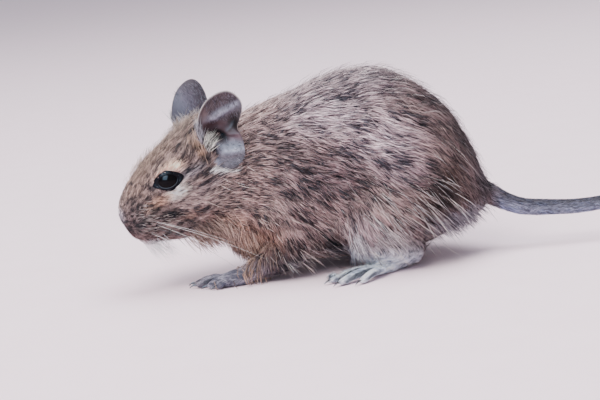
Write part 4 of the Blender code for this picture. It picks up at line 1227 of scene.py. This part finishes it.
def ear_reach(degrees):
    """The reach of the ear's outline at angles in degrees, smooth all round."""
    table = np.array(EAR_OUTLINE)
    round_again = (360.0, 0.0)
    table = np.vstack([table[-1:] - round_again, table, table[:3] + round_again])
    angle = np.asarray(degrees) % 360.0
    here = np.searchsorted(table[:, 0], angle, side="right") - 1
    rows = [np.moveaxis(table[here + step], -1, 0) for step in (-1, 0, 1, 2)]
    (a, near), (b, start), (c, end), (d, far) = rows
    share = (angle - b) / (c - b)
    leave = (end - near) / (c - a) * (c - b)
    arrive = (far - start) / (d - b) * (c - b)
    rest = 1.0 - share
    first = start * (1 + 2 * share) * rest ** 2 + leave * share * rest ** 2
    return first + end * share ** 2 * (3 - 2 * share) - arrive * share ** 2 * rest


def blob(places, middle, reach, turn):
    """From 1 at the middle of a turned oval to 0 well outside it, for flat places."""
    angle = math.radians(turn)
    gap = places - np.array(middle)
    along = (gap[..., 0] * math.cos(angle) + gap[..., 1] * math.sin(angle)) / reach[0]
    aside = (gap[..., 1] * math.cos(angle) - gap[..., 0] * math.sin(angle)) / reach[1]
    return np.exp(-(along ** 2 + aside ** 2) ** 1.3)


def ear_axes(side):
    flip = np.array((1.0, side, 1.0))
    out = unit(np.array(EAR_OUT) * flip)
    up = np.array(EAR_UP) * flip
    up = unit(up - out * (up @ out))
    front = np.cross(up, out)
    return out, up, front * (1 if front[0] > 0 else -1)


def ear_flat(degrees, ring):
    """Front and up in the ear's plane, in millimetres."""
    angle = np.radians(degrees)
    reach = ear_reach(degrees) * ring
    return np.stack([reach * np.cos(angle), reach * np.sin(angle)], axis=-1)


def ear_points(side, degrees, ring, back):
    """Places on the cupped inner face of an ear, or on its back, in the head's frame."""
    out, up, front = ear_axes(side)
    angle = np.radians(degrees)
    flat = ear_flat(degrees, ring)
    depth = EAR_DEPTH * (1 - ring ** 2) * (0.7 + 0.3 * np.sin(angle))
    depth = depth + EAR_LOWER_LIFT * ring * np.minimum(np.sin(angle), 0.0)
    depth = depth + EAR_TUCK * ring ** 2 * np.maximum(np.cos(angle - math.radians(EAR_TUCK_AT)), 0.0) ** 2
    if back:
        depth = depth + EAR_THICK * np.clip((1.0 - ring) * 9.0, 0.25, 1.0) + EAR_ROOT * (1 - ring ** 2)
    else:
        inside = np.clip((1.0 - ring) * 6.0, 0, 1)
        for middle, reach, turn, fold in EAR_FOLDS:
            depth = depth + blob(flat, middle, reach, turn) * fold * inside
        roll = np.exp(-((ring - 0.95) / 0.04) ** 2) * np.clip(np.cos(angle - 0.9) + 0.5, 0, 1)
        depth = depth - 0.45 * roll
    middle = np.array(EAR_AT) * (1.0, side, 1.0)
    return middle + flat[..., :1] * front + flat[..., 1:] * up - out * depth[..., None]


def ear_hues(degrees, ring, back):
    """The ear's bare skin: purple-brown, with painted shade making the cup and its holes darker, painted
    sheen, and a pale front rim.
    """
    angle = np.radians(degrees)
    flat = ear_flat(degrees, ring)
    hues = np.tile(np.array(EAR_OUTSIDE if back else EAR_INSIDE), (*ring.shape, 1))
    if back:
        # A painted sheen lightens the middle of the ear's back
        sheen = blob(flat, (2.0, 10.5), (3.0, 5.0), 20.0)[..., None]
        return hues + (np.array(EAR_SHEEN) - hues) * sheen * 0.8
    for middle, reach, turn, colour, strength in EAR_MARKS:
        share = blob(flat, middle, reach, turn)[..., None] * strength
        hues = hues + (np.array(colour) - hues) * share
    freckled = noise(np.stack([flat[..., 0], flat[..., 1], ring], axis=-1), (0.9, 0.9, 9.0), 7)
    hues = hues * (0.72 + 0.56 * freckled)[..., None]
    front = np.clip(np.cos(angle - 1.2) + 0.45, 0, 1)
    rim = (np.clip((ring - 0.972) / 0.020, 0, 1) * front)[..., None]
    return hues + (np.array(EAR_RIM) - hues) * rim * 0.9


def make_ear(word, side, material):
    """One ear: a thin cupped shell with folds, a rolled rim and its root in the head."""
    turn = np.arange(EAR_STEPS) * 360.0 / EAR_STEPS
    share = np.linspace(0.0, 1.0, EAR_RINGS) ** 0.75
    share[0] = 0.04
    grids, hues = [], []
    for back in (False, True):
        rings = share if not back else share[::-1]
        ring, degrees = np.meshgrid(rings, turn, indexing="ij")
        grids.append(ear_points(side, degrees, ring, back))
        hues.append(ear_hues(degrees, ring, back))
    points = np.concatenate(grids).reshape(-1, 3)
    hues = np.concatenate(hues).reshape(-1, 3)
    ear = mesh_from("pinna_" + word, from_head(points), grid_faces(EAR_RINGS * 2, EAR_STEPS))
    paint_points(ear, hues)
    close_rims(ear)
    ear.data.materials.append(material)
    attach(ear, "root")
    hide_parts("ear_" + word)


# Hair of the ears, in the ear's plane: middle and spread, way in degrees from the front edge and
# its spread, length, lift, width, colour, share of dark ones, how many, on the back or the cup
EAR_HAIR = (
    ((8, -2.8), (0.9, 2.2), 138, 13, 6.4, 1.3, 0.21, (0.86, 0.83, 0.76), 0.3, 190, False),
    ((8.5, 1.6), (0.6, 2.8), 99, 9, 6, 0.5, 0.15, (0.46, 0.44, 0.48), 0.35, 110, False),
    ((8.2, -4.2), (1.2, 1.6), 128, 14, 4.8, 1, 0.22, (0.04, 0.034, 0.04), 0.5, 90, False),
    ((-2, 10), (6, 5), 100, 25, 1.5, 0.3, 0.09, (0.22, 0.2, 0.24), 0.3, 330, False),
    ((0, -6), (5, 4), 200, 40, 1.2, 0.28, 0.09, (0.3, 0.3, 0.36), 0.3, 180, False),
    ((2.5, -1.5), (6.5, 4.6), 96, 16, 4.6, 1.2, 0.2, (0.42, 0.38, 0.41), 0.2, 900, True),
    ((-1, 9), (6, 6), 95, 20, 1.6, 0.28, 0.09, (0.19, 0.18, 0.23), 0.3, 330, True),
)


def link(tree, a, out, b, into):
    tree.links.new(a.outputs[out], b.inputs[into])


def new_material(name, roughness, specular):
    """A material with its tree and its main shader."""
    material = bpy.data.materials.new(name)
    material.use_nodes = True
    tree = material.node_tree
    shader = tree.nodes["Principled BSDF"]
    shader.inputs["Roughness"].default_value = roughness
    shader.inputs["Specular IOR Level"].default_value = specular
    return material, tree, shader


def new_node(tree, kind, values):
    """A shader node with some of its inputs set."""
    node = tree.nodes.new(kind)
    for name, value in values.items():
        node.inputs[name].default_value = value
    return node


def grain_node(tree, scale, detail):
    """A noise that lies still on the object."""
    place = tree.nodes.new("ShaderNodeTexCoord")
    grain = new_node(tree, "ShaderNodeTexNoise", {"Scale": scale, "Detail": detail})
    link(tree, place, "Object", grain, "Vector")
    return grain


# Painted finishes: name, roughness, gloss, mottle and its scale, bump and its scale
FINISHES = (
    ("coat_hair", 0.55, 0.16, 0.10, 400.0, 0.0, 0.0),
    ("hide", 0.70, 0.30, 0.18, 500.0, 0.6, 2500.0),
    ("bare_skin", 0.55, 0.16, 0.16, 450.0, 0.35, 3000.0),
    ("lid_skin", 0.40, 0.06, 0.10, 900.0, 0.10, 3000.0),
    ("horn", 0.30, 0.50, 0.15, 900.0, 0.15, 3000.0),
)


def hue_material(name, roughness, specular, mottle, scale, bump, bump_scale):
    """Painted points, a mottle and a fine grain of the surface."""
    material, tree, shader = new_material(name, roughness, specular)
    hue = tree.nodes.new("ShaderNodeAttribute")
    hue.attribute_name = "hue"
    ends = {"From Min": 0.25, "From Max": 0.75, "To Min": 1.0 - mottle, "To Max": 1.0 + mottle}
    spread = new_node(tree, "ShaderNodeMapRange", ends)
    link(tree, grain_node(tree, scale, 3.0), "Fac", spread, "Value")
    mixed = tree.nodes.new("ShaderNodeVectorMath")
    mixed.operation = "SCALE"
    link(tree, hue, "Color", mixed, 0)
    link(tree, spread, "Result", mixed, "Scale")
    link(tree, mixed, "Vector", shader, "Base Color")
    if bump:
        raised = new_node(tree, "ShaderNodeBump", {"Strength": bump, "Distance": 0.0003})
        link(tree, grain_node(tree, bump_scale, 4.0), "Fac", raised, "Height")
        link(tree, raised, "Normal", shader, "Normal")
    return material


def ramp_material(name, roughness, specular, scale, dark, light):
    """A colour that wanders between two with a fine noise."""
    material, tree, shader = new_material(name, roughness, specular)
    ramp = tree.nodes.new("ShaderNodeValToRGB")
    for element, colour in zip(ramp.color_ramp.elements, (dark, light)):
        element.color = (*colour, 1)
    link(tree, grain_node(tree, scale, 2.0), "Fac", ramp, "Fac")
    link(tree, ramp, "Color", shader, "Base Color")
    return material, shader


def eye_material():
    """Near black and wet, with a faint brown in the iris."""
    material, shader = ramp_material("eye_gloss", 0.05, 0.0, 900.0, EYE_DARK, EYE_BROWN)
    shader.inputs["Coat Weight"].default_value = 0.10
    shader.inputs["Coat Roughness"].default_value = 0.02
    return material


# A claw's line as shares of its length, and its radii along it
CLAW_SPAN = (-0.35, 1.02)
CLAW_TAPER = ((0, 0.3, 0.75, 1.0), (0.42, 0.40, 0.22, 0.05))
CLAW_STEPS = 9
CLAW_SIDES = 8
# A claw's colour at its tip, and what its root has more
CLAW_TIP = (0.014, 0.011, 0.013)
CLAW_GAIN = (0.030, 0.026, 0.028)


def tapered_tube(lines, radii, sides):
    """Many bent, tapered tubes of one make, as points and triangles, closed at both ends."""
    count, rings = lines.shape[:2]
    ahead = unit(np.gradient(lines, axis=1))
    across = unit(np.cross(ahead, (0.02, 0.05, 1.0)))
    upright = np.cross(across, ahead)
    turn = np.arange(sides) * 2 * math.pi / sides
    circle = across[:, :, None] * np.cos(turn)[:, None] + upright[:, :, None] * np.sin(turn)[:, None]
    points = (lines[:, :, None] + circle * radii[:, :, None, None]).reshape(count, -1, 3)
    faces = []
    for i in range(rings - 1):
        for j in range(sides):
            a, b = i * sides + j, i * sides + (j + 1) % sides
            faces += [(a, b, b + sides), (a, b + sides, a + sides)]
    last = (rings - 1) * sides
    for j in range(1, sides - 1):
        faces += [(0, j + 1, j), (last, last + j, last + j + 1)]
    per = rings * sides
    every = (np.array(faces)[None] + (np.arange(count) * per)[:, None, None]).reshape(-1, 3)
    return points.reshape(-1, 3), every


def make_claws(material):
    """Dark, curved, pointed claws on every toe, one piece for each foot."""
    for name, place, turn, side, size in FEET:
        lines = []
        for root, toe in foot_toes(name)[1]:
            way = unit(toe - root)
            for s in np.linspace(*CLAW_SPAN, CLAW_STEPS):
                flat = toe - way * size + way * size * s
                height = 1.55 + 0.35 * s - 1.35 * max(s, 0.0) ** 2
                lines.append((*(flat @ foot_axes(turn, side) + place), height))
        lines = np.array(lines).reshape(-1, CLAW_STEPS, 3)
        along = np.linspace(0, 1, CLAW_STEPS)
        radii = np.tile(np.interp(along, *CLAW_TAPER), (len(lines), 1))
        points, faces = tapered_tube(lines, radii, CLAW_SIDES)
        points[:, 2] = np.maximum(points[:, 2], 0.05)
        claws = mesh_from("claws_" + name, points, faces)
        root_share = 1 - np.tile(np.repeat(along, CLAW_SIDES), len(lines))[:, None]
        paint_points(claws, np.array(CLAW_TIP) + np.array(CLAW_GAIN) * root_share)
        claws.data.materials.append(material)
        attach(claws, "root")


# Whiskers: way of the upper and the lower rows in the model's frame, and how far out they lean
WHISKER_HIGH = (0.92, 0.0, 0.12)
WHISKER_LOW = (0.86, 0.0, -0.46)
WHISKER_OUT = 0.22
WHISKER_SKIP = 1.05
WHISKER_THICK = 0.068
WHISKER_TIP = 0.02
WHISKER_STEPS = 10
WHISKER_SIDES = 3
WHISKER_LIGHT = (0.98, 0.04)
# Length of the foremost whiskers and what each column behind adds
WHISKER_FIRST = 7.0
WHISKER_MORE = 7.4
# Hairs under the chin, in the head's frame
CHIN_HAIRS = 60
CHIN_AT = (34.5, 3.0, -12.0)
CHIN_SPREAD = (2.6, 1.6, 1.4)
CHIN_LENGTH = (6.0, 12.0)
CHIN_LIGHT = 0.90
CHIN_THICK = 0.075
CHIN_WAY = (0.62, 0.0, -0.70)


def make_whiskers(ground, material):
    """Fine pale whiskers swept back from the pads, and a fan of short ones under the chin."""
    draw = np.random.default_rng(SEED + 3)
    lines, hues = [], []
    s = np.linspace(0.0, 1.0, WHISKER_STEPS)[:, None]
    painted = (WHISKER_STEPS * WHISKER_SIDES, 3)
    for side in (1, -1):
        outward = HEAD_TURN @ np.array((0.0, side, 0.0))
        roots, normals, _ = pit_places(ground, side)
        for k in range(len(roots)):
            low = (k // PIT_COLUMNS) / (PIT_ROWS - 1)
            if draw.random() < WHISKER_SKIP - 0.60 * low:
                continue
            way = np.array(WHISKER_HIGH) * (1 - low) + np.array(WHISKER_LOW) * low
            way = unit(way + outward * WHISKER_OUT + draw.normal(0, 0.07, 3))
            length = WHISKER_FIRST + WHISKER_MORE * (k % PIT_COLUMNS) + draw.uniform(-2, 3)
            bend = normals[k] * 0.9 + way
            line = roots[k] - normals[k] * 0.5 + unit(bend) * 2.0 * s * (2 - s) + way * (length - 2.0) * s
            line = line + np.array((0, 0, -0.10)) * length * s ** 2
            lines.append((line, WHISKER_THICK))
            light = WHISKER_LIGHT[0] if draw.random() < 0.85 else WHISKER_LIGHT[1]
            hues.append(np.full(painted, light) * (1.0, 0.96, 0.92))
        spots = np.array(CHIN_AT) * (1, side, 1) + draw.normal(0, 1, (CHIN_HAIRS, 3)) * CHIN_SPREAD
        roots, normals, _ = ground.nearest(from_head(spots))
        for root, normal in zip(roots, normals):
            way = unit(np.array(CHIN_WAY) + outward * 0.15 + draw.normal(0, 0.12, 3))
            length = draw.uniform(*CHIN_LENGTH)
            line = root - normal * 0.4 + way * length * s + normal * 0.8 * s * (2 - s)
            lines.append((line, CHIN_THICK))
            hues.append(np.full(painted, CHIN_LIGHT) * (1.0, 0.98, 0.98))
    radii = np.array([np.linspace(thick, WHISKER_TIP, WHISKER_STEPS) for _, thick in lines])
    lines = np.array([line for line, _ in lines])
    lines[..., 2] = np.maximum(lines[..., 2], 0.6)
    points, faces = tapered_tube(lines, radii, WHISKER_SIDES)
    whiskers = mesh_from("whiskers", points, faces)
    paint_points(whiskers, np.concatenate(hues))
    return whiskers


# The floor's half side in metres and its two tones
FLOOR_HALF = 6.0
FLOOR_DARK = (0.91, 0.70, 0.78)
FLOOR_LIGHT = (0.95, 0.76, 0.84)


def make_camera():
    """The photograph's view: its place, its slight roll and its field."""
    eye, target = placed(VIEW_FROM), placed(VIEW_AT)
    turn = (Vector(target) - Vector(eye)).to_track_quat("-Z", "Y").to_matrix()
    pose = (turn @ Matrix.Rotation(-math.radians(VIEW_ROLL), 3, "Z")).to_4x4()
    pose.translation = Vector(eye)
    data = bpy.data.cameras.new("view")
    data.lens = VIEW_LENS
    data.sensor_width = 36.0
    data.clip_start = 0.01
    data.clip_end = 50.0
    camera = new_object("view", data)
    camera.matrix_world = pose
    bpy.context.scene.camera = camera


def make_stage():
    """A plain pale floor."""
    corners = [(x * FLOOR_HALF, y * FLOOR_HALF, 0) for x, y in ((-1, -1), (1, -1), (1, 1), (-1, 1))]
    mesh = bpy.data.meshes.new("floor")
    mesh.from_pydata(corners, [], [(0, 1, 2, 3)])
    floor = new_object("floor", mesh)
    mesh.materials.append(ramp_material("floor", 0.75, 0.2, 60.0, FLOOR_DARK, FLOOR_LIGHT)[0])


def area_light(name, place, size, energy, colour):
    data = bpy.data.lights.new(name, "AREA")
    data.size = size
    data.energy = energy
    data.color = colour
    lamp = new_object(name, data)
    lamp.location = place
    lamp.rotation_euler = (-Vector(place)).to_track_quat("-Z", "Y").to_euler()
    return lamp


def make_light():
    """Broad soft light from above and in front, with a cool sky round it."""
    world = bpy.data.worlds.new("sky")
    world.use_nodes = True
    ground = world.node_tree.nodes["Background"]
    ground.inputs[0].default_value = (0.86, 0.92, 1.0, 1.0)
    ground.inputs[1].default_value = 0.75
    bpy.context.scene.world = world
    area_light("key", (-0.55, -0.75, 1.15), 0.9, 27.0, (1.0, 0.96, 0.92))
    area_light("top", (0.25, 0.15, 1.5), 1.2, 34.0, (0.96, 0.98, 1.0))
    glint = area_light("glint", (-0.50, -0.95, 0.70), 1.00, 110.0, (0.45, 0.72, 1.0))
    glint.visible_diffuse = False


def dress(piece, material):
    piece.data.materials.clear()
    piece.data.materials.append(material)
    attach(piece, "root")


def main():
    skin = make_skin()
    unwrap(skin)
    ground = Ground(skin)
    coat, hide, bare, rim, horn = (hue_material(*row) for row in FINISHES)
    under = marked(ground.points)
    bright = brightness(under)[:, None]
    paint_points(skin, under * (SKIN_SHADE + (1 - SKIN_SHADE) * bright * 0.6))
    dress(skin, hide)
    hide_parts(*FLESH, *TAIL_NODES)
    layers = [grow_layer(ground, layer, i) for i, layer in enumerate(LAYERS)]
    for piece, slot in split_coat([np.concatenate(column) for column in zip(*layers)]):
        dress(piece, coat)
    rows = grow_tresses(ground)
    brush = rows[0][:, 0, 0] > BRUSH_FROM
    dress(tuft_mesh("long_hair", *(row[~brush] for row in rows)), coat)
    dress(tuft_mesh("brush_long", *(row[brush] for row in rows)), coat)
    dress(tuft_mesh("ear_hair", *grow_ear_hair(ground)), coat)
    tree = BVHTree.FromPolygons(ground.points.tolist(), ground.triangles.tolist())
    wet = eye_material()
    for word, side in (("left", 1), ("right", -1)):
        make_eye(word, side, wet)
        make_lids(word, side, rim, tree)
        make_ear(word, side, bare)
    make_claws(horn)
    dress(make_whiskers(ground, horn), horn)
    make_camera()
    make_stage()
    make_light()


main()
